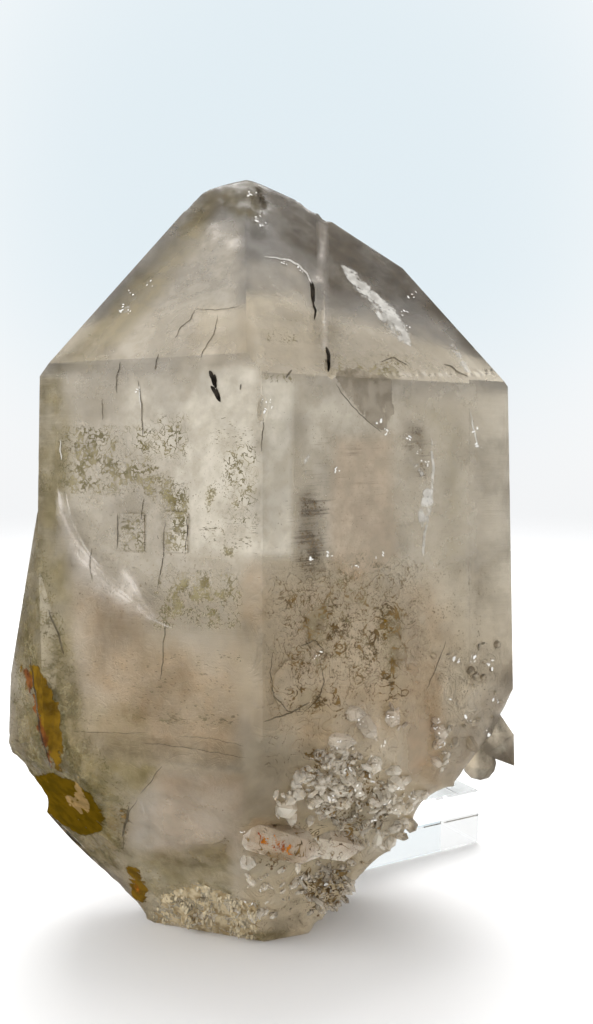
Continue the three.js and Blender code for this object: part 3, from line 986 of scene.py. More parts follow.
@dataclass
class SmallCrystals:
    """The finer crystals of the druse, joined with the body.

    Each patch has its outline, its number of crystals, and their least and greatest length in millimetres.
    """

    front: CrystalFront
    seed: int = 7
    slimness: tuple[float, float] = (0.26, 0.46)
    uprightness: float = 0.8
    rise: float = 0.12
    patches: tuple[tuple[Region, int, tuple[float, float]], ...] = (
        (Region(((302, 762), (330, 742), (352, 745), (372, 760), (395, 790), (388, 835), (340, 825),
                (306, 805))), 120, (1.4, 3.4)),
        (Region(((366, 786), (396, 786), (400, 820), (384, 850), (366, 840))), 26, (1.4, 3.0)),
        (Region(((395, 800), (404, 784), (424, 778), (424, 796), (404, 815))), 16, (1.4, 3.0)),
        (Region(((298, 862), (340, 858), (356, 876), (340, 908), (310, 914), (296, 892))), 60, (1.3, 3.2)),
        (Region(((244, 872), (292, 866), (298, 906), (262, 925), (244, 905))), 24, (0.9, 1.9)),
        (Region(((372, 700), (398, 700), (404, 728), (384, 734))), 5, (1.4, 2.6)),
        (Region(((430, 716), (452, 722), (452, 772), (432, 770))), 12, (1.4, 3.0)),
        (Region(((440, 640), (506, 640), (506, 724), (460, 730))), 14, (0.8, 1.9)),
        (Region(((262, 790), (300, 786), (302, 816), (266, 816))), 12, (1.2, 2.6)),
    )

    def build(self) -> list[bpy.types.Object]:
        """Builds the crystals on the surface, each with its own mesh."""
        draw = random.Random(self.seed)
        return scatter(self.model(), [self.placement(region, lengths, draw)
                                      for region, count, lengths in self.patches for _ in range(count)])

    def placement(self, region: Region, lengths: tuple[float, float], draw: random.Random) -> Matrix | None:
        """Draws the place of one crystal.

        Args:
            region: The patch that it grows in.
            lengths: Its least and greatest length, in millimetres.
            draw: Source of the random numbers.

        Returns:
            Its size, turn and place, or None where it would stand beside the patch or the surface.
        """
        pixel = region.pick(draw)
        length = draw.uniform(*lengths) * MM
        lean = Vector((draw.uniform(-1, 1), draw.uniform(-0.6, 0.3), draw.uniform(-0.7, 1)))
        spin = draw.uniform(0, math.tau)
        width = draw.uniform(*self.slimness) * length
        found = self.front.surface(*pixel)
        if not found or not region.holds(pixel):
            return None
        point, normal = found
        axis = (normal * self.uprightness + lean).normalized()
        turn = axis.to_track_quat("Z", "Y").to_matrix() @ Matrix.Rotation(spin, 3, "Z")
        shape = Matrix.Diagonal((width, width, length))
        return Matrix.Translation(point + axis * length * self.rise) @ (turn @ shape).to_4x4()

    @staticmethod
    def model() -> bpy.types.Object:
        """Models one crystal of unit length and width: a six-sided column with a point at each end."""
        deselect_all()
        bpy.ops.mesh.primitive_cylinder_add(vertices=6, radius=0.5, depth=0.5)
        crystal = bpy.context.object
        bpy.ops.object.mode_set(mode="EDIT")
        for side in (1, -1):
            bpy.ops.mesh.select_all(action="DESELECT")
            bpy.ops.object.mode_set(mode="OBJECT")
            for face in crystal.data.polygons:
                face.select = face.normal.z * side > 0.9
            bpy.ops.object.mode_set(mode="EDIT")
            bpy.ops.mesh.extrude_region_move(TRANSFORM_OT_translate={"value": (0, 0, 0.25 * side)})
            bpy.ops.mesh.merge(type="CENTER")
        bpy.ops.object.mode_set(mode="OBJECT")
        return crystal


@dataclass(frozen=True)
class Relief:
    """How deep the broad faces are pressed in. Millimetres."""

    swell: float = 0.35
    ripple: float = 0.1
    coarseness: float = 0.22
    terrace: float = 0.05
    wave: float = 0.09
    lump: float = 0.28
    lumps_top: float = 62.0
    lumps_fade: float = 20.0
    broken_slope: float = -0.2

    def depth(self, place: Vector, normal: Vector) -> float:
        """Depth of the relief at a place.

        Args:
            place: Point on the surface, in millimetres.
            normal: The surface's outward normal.

        Returns:
            Depth under the flat face, in millimetres.
        """
        return self.in_break(place) if normal.z < self.broken_slope else self.in_face(place)

    def in_break(self, place: Vector) -> float:
        """Depth in the broken base, which has swells, curved ripples and coarse spots."""
        swell = raised(noise.noise(place * 0.09))
        ripple = raised(math.sin(place.length * 1.9 + 5 * noise.noise(place * 0.12)))
        coarse = raised(noise.fractal(place * 0.55, 0.8, 2.1, 4))
        return self.swell * swell + self.ripple * ripple + self.coarseness * max(coarse, 0)

    def in_face(self, place: Vector) -> float:
        """Depth in a grown face, which has level terraces, waves, and lumps low down."""
        height = place.z + place.y * math.tan(LEAN_BACK)
        terrace = raised(noise.noise(Vector((place.x * 0.06, place.y * 0.06, height * 0.22))))
        wave = raised(noise.noise(place * 0.11 + Vector((9, 4, 2))))
        low_down = limited((self.lumps_top - place.z) / self.lumps_fade)
        lump = max(raised(noise.fractal(place * 0.3 + Vector((3, 8, 5)), 0.9, 2.1, 3)), 0)
        return self.terrace * terrace + self.wave * wave + self.lump * low_down * lump


def cavities(data: bpy.types.Mesh) -> np.ndarray:
    """How deep each vertex of a mesh lies between its neighbours, from 0 to 1."""
    mesh = bmesh.new()
    mesh.from_mesh(data)
    values = np.zeros(len(mesh.verts))
    for vertex in mesh.verts:
        rises = [(edge.other_vert(vertex).co - vertex.co).normalized().dot(vertex.normal)
                 for edge in vertex.link_edges]
        values[vertex.index] = limited(sum(rises) / len(rises) * 4 - 0.2)
    mesh.free()
    return values


def patchiness(places: np.ndarray) -> np.ndarray:
    """A smooth random value from 0 to 1 for each place."""
    return np.array([limited(noise.noise(Vector(place) * 60) + 0.5) for place in places])


@dataclass
class CrystalBody:
    """The grown-together crystal: a copy of its solid with finer crystals and a fine surface.

    Lengths are in millimetres, areas in square millimetres and angles in radians.
    """

    groups: Groups
    node: str = "quartz_crystal"
    merge_gap: float = 0.002
    pitch: float = 1.0
    flat: float = math.radians(0.2)
    broad_face: float = 45.0
    normal_steps: int = 40
    distance_steps: int = 2
    broken_slope: float = -0.12
    smooth_from: float = 0.6
    base_rounding: int = 24
    apex_rounding: int = 5
    apex_height: float = 131.0
    relief: Relief = Relief()
    relief_from: float = 0.4
    edge_gap: float = 0.15
    edge_fade: float = 3.0
    sharp: float = 0.3
    crease: float = math.radians(22)
    hollows_top: float = 75.0
    hollows_fade: float = 15.0
    druse_back: float = -5.0
    druse: Region = Region(((236, 812), (300, 745), (322, 726), (340, 696), (450, 690), (452, 765),
                            (370, 880), (330, 915), (236, 930)), 1)
    finish: QuartzFinish = QuartzFinish()
    druse_finish: QuartzFinish = QuartzFinish(
        "druse_quartz", transmission=0.6, upper=(0.95, 0.88, 0.76), lower=(0.95, 0.88, 0.75), roughness=0.08,
        lower_roughness=0.1, smoke_per_metre=12.0
    )
    zones: dict[str, tuple[Region, ...]] = field(default_factory=lambda: {
        "milk": (
            Region(((162, 768), (245, 778), (250, 880), (245, 940), (150, 930), (124, 862), (124, 833),
                    (146, 788)), 14, 0.8),
            Region(((58, 500), (68, 529), (79, 554), (108, 583), (135, 606), (171, 626), (150, 632),
                    (100, 600), (70, 570)), 8, 0.6),
            Region(((205, 218), (236, 214), (246, 240), (244, 258), (214, 252)), 12, 0.5),
        ),
        "iron": (
            Region(((14, 660), (36, 655), (63, 700), (80, 772), (130, 800), (124, 880), (60, 850),
                    (12, 750)), 16, 0.9),
            Region(((355, 430), (396, 430), (396, 560), (340, 600), (330, 560)), 25, 0.25),
        ),
        "etch": (
            Region(((245, 560), (430, 545), (440, 640), (440, 720), (400, 800), (300, 800), (245, 780)), 26,
                    1.0),
            Region(((60, 420), (240, 420), (245, 625), (70, 625)), 25, 0.35),
            Region(((20, 600), (130, 630), (245, 650), (245, 940), (140, 940), (10, 760)), 20, 0.3),
            Region(((140, 870), (245, 880), (300, 860), (400, 800), (420, 830), (340, 930), (260, 950),
                    (140, 940)), 16, 0.9),
            Region(((420, 640), (510, 640), (516, 700), (470, 780), (420, 800)), 20, 0.7),
        ),
    })

    def build(self) -> bpy.types.Object:
        """Builds and dresses the body.

        Returns:
            The finished piece.
        """
        piece = self.copy_of_solid()
        self.unite(piece, SmallCrystals(CrystalFront(piece)).build())
        self.mark_broad_faces(piece)
        self.divide(piece)
        self.round_edges(piece)
        self.raise_relief(piece)
        self.shade(piece)
        self.paint(piece)
        self.dress(piece)
        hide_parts(self.node)
        return finish_piece(piece)

    def copy_of_solid(self) -> bpy.types.Object:
        """Copies the solid and merges its loose triangles."""
        piece = copy_piece(frame["nodes"][self.node], "crystal_body")
        activate(piece)
        bpy.ops.object.mode_set(mode="EDIT")
        bpy.ops.mesh.select_all(action="SELECT")
        bpy.ops.mesh.remove_doubles(threshold=self.merge_gap * MM)
        bpy.ops.object.mode_set(mode="OBJECT")
        return piece

    @staticmethod
    def unite(piece: bpy.types.Object, crystals: list[bpy.types.Object]) -> None:
        """Joins the body with crystals that overlap it, and deletes them.

        Args:
            piece: The body.
            crystals: The separate crystals.
        """
        for crystal in crystals:
            modifier = piece.modifiers.new("unite", "BOOLEAN")
            modifier.operation = "UNION"
            modifier.solver = "MANIFOLD"
            modifier.object = crystal
            activate(piece)
            bpy.ops.object.modifier_apply(modifier=modifier.name)
            bpy.data.objects.remove(crystal)

    def mark_broad_faces(self, piece: bpy.types.Object) -> None:
        """Merges flat neighbours and marks the faces that are too broad to belong to the druse."""
        activate(piece)
        bpy.ops.object.mode_set(mode="EDIT")
        bpy.ops.mesh.select_all(action="SELECT")
        bpy.ops.mesh.dissolve_limited(angle_limit=self.flat)
        bpy.ops.object.mode_set(mode="OBJECT")
        planes = {self.plane(face) for face in piece.data.polygons if face.area > self.broad_face * MM * MM}
        broad = [self.plane(face) in planes for face in piece.data.polygons]
        layer = piece.data.attributes.new("broad", "FLOAT", "FACE")
        layer.data.foreach_set("value", np.array(broad, np.float32))

    def plane(self, face: bpy.types.MeshPolygon) -> tuple[int, ...]:
        """The plane of a face, rounded so that faces in one plane give the same numbers."""
        distance = face.normal.dot(face.center) / MM
        return (*(round(part * self.normal_steps) for part in face.normal),
                round(distance * self.distance_steps))

    def divide(self, piece: bpy.types.Object) -> None:
        """Divides the surface along level and upright planes, into triangles."""
        activate(piece)
        low, high = (Vector(corner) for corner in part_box(self.node))
        bpy.ops.object.mode_set(mode="EDIT")
        step = self.pitch * MM
        for axis in (2, 0, 1):
            across = Vector([float(axis == other) for other in range(3)])
            for number in range(1, int((high[axis] - low[axis]) / step)):
                bpy.ops.mesh.select_all(action="SELECT")
                bpy.ops.mesh.bisect(plane_co=across * (low[axis] + number * step), plane_no=across)
        bpy.ops.mesh.select_all(action="SELECT")
        bpy.ops.mesh.quads_convert_to_tris(quad_method="BEAUTY", ngon_method="BEAUTY")
        bpy.ops.object.mode_set(mode="OBJECT")

    @staticmethod
    def small_faces(mesh: bpy.types.Mesh) -> np.ndarray:
        """Whether each face of the body is small enough to belong to the druse."""
        broad = np.empty(len(mesh.polygons), np.float32)
        mesh.attributes["broad"].data.foreach_get("value", broad)
        return broad < 0.5

    def free_vertices(self, mesh: bpy.types.Mesh) -> np.ndarray:
        """Whether each vertex lies apart from the druse."""
        free = np.ones(len(mesh.vertices), bool)
        for face, small in zip(mesh.polygons, self.small_faces(mesh)):
            if small:
                free[list(face.vertices)] = False
        return free

    def round_edges(self, piece: bpy.types.Object) -> None:
        """Rounds the edges between the breaks of the base, and the chips of the apex."""
        mesh = piece.data
        free = self.free_vertices(mesh)
        broken = np.zeros(len(mesh.vertices), bool)
        for face in mesh.polygons:
            if face.normal.z < self.broken_slope:
                broken[list(face.vertices)] = True
        heights = vertex_arrays(mesh)[0][:, 2] / MM
        self.smooth(piece, broken & free, free & (heights > self.smooth_from), self.base_rounding)
        apex = heights > self.apex_height
        self.smooth(piece, apex, apex, self.apex_rounding)

    @staticmethod
    def smooth(piece: bpy.types.Object, chosen: np.ndarray, allowed: np.ndarray, repeat: int) -> None:
        """Smooths chosen vertices and their neighbours.

        Args:
            piece: The body.
            chosen: Whether each vertex is chosen.
            allowed: Whether each vertex may move.
            repeat: Number of passes.
        """
        select_vertices(piece, chosen)
        bpy.ops.mesh.select_more()
        bpy.ops.mesh.select_more()
        bpy.ops.object.mode_set(mode="OBJECT")
        selected = np.empty(len(piece.data.vertices), bool)
        piece.data.vertices.foreach_get("select", selected)
        select_vertices(piece, selected & allowed)
        bpy.ops.mesh.vertices_smooth(factor=0.5, repeat=repeat)
        bpy.ops.object.mode_set(mode="OBJECT")

    def raise_relief(self, piece: bpy.types.Object) -> None:
        """Presses the relief into the broad faces, always inwards, and fades it out towards the edges."""
        mesh = piece.data
        places, normals = vertex_arrays(mesh)
        free = self.free_vertices(mesh) & (places[:, 2] >= self.relief_from * MM)
        share = np.clip((self.edge_distances(piece, places) - self.edge_gap) / self.edge_fade, 0, 1)
        fade = share * share * (3 - 2 * share)
        depth = np.zeros(len(places))
        for index in np.flatnonzero(free):
            flat_depth = self.relief.depth(Vector(places[index]) / MM, Vector(normals[index]))
            depth[index] = flat_depth * fade[index]
        move_vertices(mesh, places - normals * (depth * MM)[:, None])
        mesh.update()

    def shade(self, piece: bpy.types.Object) -> None:
        """Shades the body smoothly and marks its creases as sharp."""
        activate(piece)
        bpy.ops.object.shade_smooth()
        mesh = bmesh.new()
        mesh.from_mesh(piece.data)
        creased = [edge.calc_face_angle(0) > self.crease for edge in mesh.edges]
        mesh.free()
        layers = piece.data.attributes
        layer = layers.get("sharp_edge") or layers.new("sharp_edge", "BOOLEAN", "EDGE")
        layer.data.foreach_set("value", creased)

    def edge_distances(self, piece: bpy.types.Object, places: np.ndarray) -> np.ndarray:
        """Distance of each vertex from the nearest sharp edge.

        Args:
            piece: The body.
            places: Its vertices.

        Returns:
            One distance for each vertex, in millimetres.
        """
        mesh = bmesh.new()
        mesh.from_mesh(piece.data)
        points = [edge.verts[0].co.lerp(edge.verts[1].co, share) for edge in mesh.edges
                  if edge.calc_face_angle(0) > self.sharp for share in (0, 0.25, 0.5, 0.75, 1)]
        mesh.free()
        tree = KDTree(len(points))
        for number, point in enumerate(points):
            tree.insert(point, number)
        tree.balance()
        return np.array([tree.find(place)[2] for place in places]) / MM

    def paint(self, piece: bpy.types.Object) -> None:
        """Stores milky, stained, etched and lined zones, and dirt with painted shade in hollows."""
        mesh = piece.data
        places, normals = vertex_arrays(mesh)
        pixels, facing = PHOTOGRAPH.pixels(places), PHOTOGRAPH.sees(places, normals)
        for name, regions in self.zones.items():
            set_values(mesh, name, np.max([region.at(pixels) for region in regions], axis=0) * facing)
        # Dirt and painted shade in the hollows of the lower part.
        low_down = np.clip((self.hollows_top - places[:, 2] / MM) / self.hollows_fade, 0, 1)
        set_values(mesh, "hollow_dirt_and_shade", cavities(mesh) * low_down)
        upright = np.clip((0.5 - np.abs(normals[:, 2] - 0.08)) * 3, 0.12, 1)
        set_values(mesh, "lined", upright * (0.3 + 0.7 * patchiness(places)))

    def dress(self, piece: bpy.types.Object) -> None:
        """Gives the body its finish, and the small faces of the druse in front their own."""
        mesh = piece.data
        give_materials(piece, self.finish.material(self.groups), self.druse_finish.material(self.groups))
        centres = np.empty(len(mesh.polygons) * 3)
        mesh.polygons.foreach_get("center", centres)
        centres = centres.reshape(-1, 3)
        in_front = centres[:, 1] < self.druse_back * MM
        in_druse = self.druse.at(PHOTOGRAPH.pixels(centres)) > 0
        chosen = in_druse & self.small_faces(mesh) & in_front
        mesh.polygons.foreach_set("material_index", chosen.astype(np.int32))
        mesh.update()


LEFT_LOBE = ((14, 610), (30, 540), (48, 540), (62, 600), (78, 650), (92, 730), (116, 766), (134, 800),
             (128, 880), (60, 860), (4, 760))
Places = dict[DepositOrPaintedLight, tuple[Region | Blob, ...]]
# Tints, milky veils, and painted light and shade, laid as one film over the body.
VEILS_AND_PAINTED_LIGHT: Places = {
    DepositOrPaintedLight.WARM: (
        Region(((332, 434), (396, 430), (402, 560), (360, 594), (326, 574), (324, 500)), 12, 1.0),
        Region(((262, 560), (440, 560), (470, 640), (440, 700), (400, 760), (300, 760), (255, 720)), 30,
                0.5),
        Region(((60, 620), (245, 640), (245, 770), (160, 764), (90, 750)), 26, 0.5),
        Region(((236, 560), (262, 556), (300, 600), (262, 640), (236, 620)), 12, 0.4),
        Region(((150, 766), (248, 770), (250, 866), (150, 866)), 16, 0.5),
        Region(((238, 834), (252, 816), (300, 826), (322, 846), (306, 866), (250, 858)), 4, 0.8),
        Region(((322, 836), (344, 830), (368, 846), (352, 862), (318, 858)), 4, 0.45),
        Region(((392, 660), (440, 650), (448, 720), (440, 792), (404, 780), (398, 730)), 12, 0.9),
        Region(((70, 570), (150, 606), (160, 650), (60, 650)), 14, 0.4),
    ),
    # Pale haze with painted light, where light through the quartz makes the crystal brighter.
    DepositOrPaintedLight.HAZE_AND_LIGHT: (
        Region(((120, 296), (190, 220), (246, 216), (250, 352), (268, 372), (268, 560), (236, 600),
                (168, 600), (92, 560), (62, 500), (58, 372)), 16, 0.85),
        Region(((244, 256), (300, 258), (314, 290), (316, 366), (318, 400), (250, 400)), 8, 0.65),
        Region(((326, 300), (380, 318), (430, 340), (490, 378), (490, 560), (400, 600), (310, 560),
                (326, 400)), 14, 0.75),
        Region(((262, 360), (330, 360), (400, 366), (468, 370), (468, 520), (400, 560), (330, 560),
                (262, 560)), 8, 0.85),
        Region(((469, 386), (508, 392), (508, 550), (470, 580)), 5, 0.55),
        Region(((464, 384), (474, 384), (474, 620), (464, 620)), 4, 0.7),
        Region(((150, 780), (245, 782), (245, 850), (200, 870), (136, 850)), 20, 0.5),
        Region(((262, 540), (440, 540), (440, 700), (262, 720)), 30, 0.35),
    ),
    # Painted light: the bright patch seen through to a back face, and other lit zones.
    DepositOrPaintedLight.PAINTED_LIGHT: (
        Region(((187, 392), (200, 366), (260, 362), (263, 556), (236, 560), (168, 554), (170, 470)), 6,
                0.62),
        Region(((110, 380), (200, 370), (190, 480), (150, 470), (110, 430)), 20, 0.4),
        Region(((258, 376), (296, 380), (294, 560), (256, 560)), 6, 0.8),
        Region(((336, 696), (384, 700), (404, 790), (412, 850), (360, 862), (310, 804)), 9, 0.32),
        Region(((296, 396), (400, 380), (400, 430), (330, 440), (328, 480), (296, 480)), 16, 0.4),
    ),
    # Olive tint with painted shade, also on the dark rims of the outline, which its patches reach past.
    DepositOrPaintedLight.OLIVE_AND_SHADE: (
        Region(LEFT_LOBE, 12, 0.9),
        Region(((118, 840), (150, 848), (236, 832), (240, 906), (160, 930), (140, 930), (116, 870)), 12,
                0.85),
        Region(((84, 756), (162, 764), (146, 788), (131, 808), (124, 833), (123, 872), (96, 830)), 4, 0.75),
        Region(((70, 690), (150, 704), (162, 764), (130, 808), (122, 870), (96, 850), (84, 760)), 14, 0.5),
        Region(((220, 186), (250, 176), (264, 184), (262, 222), (236, 218), (220, 206)), 5, 0.5),
        Region(((372, 600), (408, 606), (408, 696), (380, 696)), 14, 0.5),
        Region(((296, 606), (340, 596), (336, 660), (300, 650)), 14, 0.45),
        Region(((290, 684), (330, 684), (330, 716), (292, 716)), 10, 0.5),
        Region(((250, 846), (300, 850), (300, 868), (256, 868)), 8, 0.5),
        Region(((344, 792), (372, 804), (370, 830), (346, 826)), 8, 0.4),
        Region(((236, 926), (262, 930), (292, 926), (290, 946), (240, 946)), 5, 0.9),
        Region(((136, 890), (162, 900), (176, 944), (136, 944)), 7, 0.9),
        Region(((30, 378), (64, 366), (80, 420), (76, 480), (66, 520), (78, 590), (78, 650), (24, 660)), 13,
                0.75),
        Region(((206, 186), (230, 190), (200, 254), (156, 312), (98, 372), (36, 384), (104, 306)), 13, 0.6),
        Region(((330, 372), (350, 366), (400, 372), (400, 384), (340, 384)), 5, 0.4),
        Region(((400, 400), (468, 400), (468, 560), (436, 580), (436, 440)), 14, 0.3),
        Blob((-22, 22, 14), 26, 0.8), Blob((8, 30, 10), 24, 0.8), Blob((-40, 10, 40), 20, 0.5),
    ),
    # Smoky tint with painted shade, darkest at the tip, the apex and the rims of the outline.
    DepositOrPaintedLight.SMOKE_AND_SHADE: (
        Region(((250, 164), (338, 202), (412, 248), (524, 384), (484, 378), (440, 328), (400, 306),
                (340, 306), (324, 296), (312, 276), (300, 258), (276, 240), (262, 214)), 12, 0.75),
        Region(((246, 166), (290, 184), (328, 206), (322, 262), (290, 246), (264, 226)), 8, 0.5),
        Region(((196, 180), (248, 164), (268, 172), (262, 218), (236, 214), (190, 232)), 8, 0.5),
        Region(((252, 180), (266, 184), (276, 212), (262, 220), (254, 206)), 6, 1.0),
        Region(((100, 330), (200, 214), (250, 214), (252, 262), (200, 300), (130, 350)), 16, 0.14),
        Region(((250, 296), (318, 326), (440, 340), (474, 378), (262, 378)), 8, 0.3),
        Region(((440, 560), (520, 516), (526, 700), (480, 690), (450, 640)), 14, 0.4),
        Region(((238, 834), (252, 816), (300, 826), (322, 846), (306, 866), (250, 858)), 4, 0.2),
        Region(((392, 660), (440, 650), (448, 720), (440, 792), (404, 780), (398, 730)), 12, 0.35),
        Region(((36, 374), (50, 366), (50, 420), (48, 500), (46, 560), (36, 610), (22, 640)), 7, 0.6),
        Region(((292, 492), (312, 480), (326, 508), (328, 582), (292, 590)), 9, 0.7),
        Region(((300, 500), (316, 496), (322, 570), (302, 578)), 6, 0.9),
        Region(((398, 416), (424, 414), (434, 446), (430, 484), (404, 482)), 9, 0.6),
        Region(((262, 560), (330, 580), (340, 660), (268, 680), (256, 620)), 24, 0.4),
        Region(((60, 728), (162, 734), (245, 743), (245, 776), (160, 764), (84, 756)), 5, 0.6),
        Region(((76, 736), (97, 738), (98, 756), (80, 756)), 5, 0.9),
        Region(((200, 770), (256, 760), (262, 870), (240, 890), (214, 860)), 14, 0.32),
        Region(((420, 700), (470, 690), (470, 760), (420, 790)), 12, 0.1),
        Region(((476, 752), (492, 712), (504, 712), (520, 760), (500, 790), (474, 786)), 4, 1.0),
        Region(((14, 680), (36, 760), (70, 800), (120, 850), (150, 920), (130, 910), (60, 845), (6, 760)),
                7, 0.7),
    ),
    DepositOrPaintedLight.VEIL: (
        Region(((55, 488), (64, 492), (69, 512), (79, 536), (97, 560), (112, 574), (128, 584), (140, 600),
                (172, 624), (150, 622), (122, 608), (98, 590), (78, 568), (64, 540), (56, 512)), 6, 0.6),
        Region(((114, 566), (126, 564), (140, 580), (146, 608), (124, 596)), 8, 0.55),
        Region(((206, 226), (222, 220), (226, 236), (214, 244)), 5, 0.6),
        Region(((222, 238), (244, 236), (244, 250), (226, 250)), 5, 0.5),
    ),
}
STAINS: Places = {
    DepositOrPaintedLight.DASHES: (
        box_region(60, 640, 245, 735, 24, 0.35), box_region(140, 712, 240, 728, 5, 1.1),
        box_region(168, 652, 245, 664, 5, 1.0), box_region(164, 476, 190, 550, 8, 1.2),
        box_region(192, 520, 262, 556, 10, 0.7), box_region(204, 412, 262, 450, 12, 0.5),
    ),
    DepositOrPaintedLight.SCRIBBLES: (
        Region(((58, 424), (150, 424), (160, 500), (130, 492), (60, 490)), 12, 1.3),
        box_region(54, 474, 140, 494, 7, 1.3), box_region(40, 470, 62, 490, 5, 1.0),
        Region(((150, 412), (192, 412), (190, 470), (150, 460)), 12, 0.7),
        box_region(118, 512, 146, 552, 4, 0.9), box_region(162, 480, 190, 552, 6, 1.2),
        box_region(220, 440, 262, 530, 12, 0.6), box_region(150, 568, 245, 632, 16, 1.0),
        Region(((250, 600), (290, 540), (370, 520), (450, 560), (440, 610), (425, 680), (380, 712),
                (280, 700)), 60, 0.35),
        box_region(330, 355, 412, 378, 8, 1.0), box_region(262, 372, 296, 384, 5, 0.7),
        box_region(264, 330, 300, 345, 6, 0.5), Region(LEFT_LOBE, 14, 0.6), Blob((10, 34, 62), 26, 0.8),
        Blob((34, 14, 74), 16, 0.7), Blob((-36, 18, 70), 20, 0.7),
    ),
    DepositOrPaintedLight.OLIVE_DUST: (
        box_region(62, 432, 108, 494, 12, 0.6),
        Region(((130, 428), (156, 434), (172, 466), (190, 500), (190, 524), (160, 520), (138, 492)), 12,
                1.1),
        box_region(162, 496, 190, 526, 7, 1.3), box_region(204, 482, 220, 516, 6, 1.4),
        box_region(219, 516, 238, 562, 7, 1.4),
        Region(((148, 575), (200, 568), (240, 565), (238, 605), (225, 628), (160, 622)), 12, 1.2),
        Blob((4, 36, 50), 18, 0.7), Blob((-34, 20, 60), 14, 0.7),
    ),
    DepositOrPaintedLight.DARK_SPECKS: (
        Region(((262, 600), (310, 560), (370, 545), (420, 560), (430, 610), (425, 660), (380, 700),
                (300, 700)), 30, 0.8),
        box_region(255, 380, 500, 560, 30, 0.2), box_region(255, 540, 505, 730, 30, 0.5),
        box_region(60, 420, 250, 640, 20, 0.3), box_region(300, 742, 392, 830, 14, 0.3),
        box_region(285, 872, 350, 918, 12, 0.7), box_region(326, 596, 352, 644, 8, 1.6),
        box_region(372, 606, 404, 694, 10, 1.2), box_region(298, 686, 346, 714, 8, 1.4),
        box_region(292, 490, 328, 576, 9, 1.1), box_region(402, 420, 430, 482, 8, 0.9),
    ),
    DepositOrPaintedLight.CREVICES: (
        Region(((366, 600), (410, 600), (414, 700), (376, 704)), 16, 1.0),
        Region(((296, 600), (350, 590), (350, 652), (300, 652)), 16, 0.9),
        Region(((286, 684), (346, 684), (346, 716), (286, 716)), 10, 1.0),
        Region(((255, 560), (440, 540), (440, 700), (255, 720)), 50, 0.32),
        Region(((286, 868), (350, 862), (350, 900), (310, 918)), 8, 1.2),
        Region(((300, 744), (352, 744), (396, 790), (388, 840), (330, 830), (300, 800)), 10, 0.55),
        Region(((236, 820), (372, 816), (372, 870), (240, 872)), 10, 0.35),
    ),
    DepositOrPaintedLight.STREAKS: (
        Region(((282, 496), (312, 478), (334, 500), (334, 574), (290, 592)), 12, 1.1),
        Region(((300, 430), (396, 430), (396, 540), (300, 500)), 16, 0.5),
        Region(((400, 420), (426, 418), (436, 446), (430, 486), (404, 482)), 8, 0.7),
        Region(((436, 470), (460, 470), (460, 540), (436, 540)), 8, 0.4),
    ),
    DepositOrPaintedLight.OLIVE_FILM: (
        Region(((33, 776), (50, 770), (72, 778), (92, 792), (106, 814), (104, 832), (84, 838), (56, 824),
                (40, 806)), 5),
        Region(((112, 802), (130, 804), (136, 826), (122, 836)), 6, 0.45),
    ),
    DepositOrPaintedLight.OCHRE: (
        Region(((26, 662), (38, 664), (50, 684), (60, 706), (64, 740), (62, 774), (54, 772), (45, 745),
                (34, 706)), 4),
        Region(((18, 664), (24, 664), (30, 690), (24, 690)), 4, 0.8),
        Region(((124, 864), (140, 866), (150, 890), (146, 908), (132, 900)), 5),
        Region(((376, 608), (400, 612), (402, 640), (384, 650), (372, 632)), 12, 0.3),
        Region(((384, 650), (402, 656), (404, 690), (388, 690)), 10, 0.32),
        Region(((310, 622), (330, 624), (332, 648), (316, 644)), 12, 0.3), Blob((-34, 14, 22), 12, 0.8),
        Blob((14, 32, 16), 9, 0.8),
    ),
    DepositOrPaintedLight.CLAY: (
        Region(((76, 774), (81, 776), (82, 790), (92, 806), (90, 818), (78, 813), (66, 802), (63, 792),
                (74, 796)), 3),
        Region(((110, 803), (130, 806), (134, 830), (122, 838)), 6, 0.5),
    ),
    DepositOrPaintedLight.PALE_CRUST: (
        Region(((156, 892), (196, 880), (236, 892), (262, 900), (262, 940), (196, 938), (150, 926)), 8, 1.0),
        Region(((305, 880), (350, 868), (352, 900), (320, 918)), 9, 0.5), Blob((0, 22, 4), 18, 0.8),
    ),
    DepositOrPaintedLight.RED_IRON: (
        Region(((258, 832), (268, 833), (271, 843), (262, 843)), 2, 1.7),
        Region(((270, 837), (291, 841), (291, 856), (276, 851)), 3, 1.5),
        Region(((128, 876), (138, 874), (144, 894), (134, 894)), 4, 0.6),
    ),
    DepositOrPaintedLight.RUST: (
        Region(((22, 668), (30, 668), (40, 704), (48, 742), (56, 770), (50, 768), (41, 742), (31, 704)), 3,
                1.0),
    ),
}


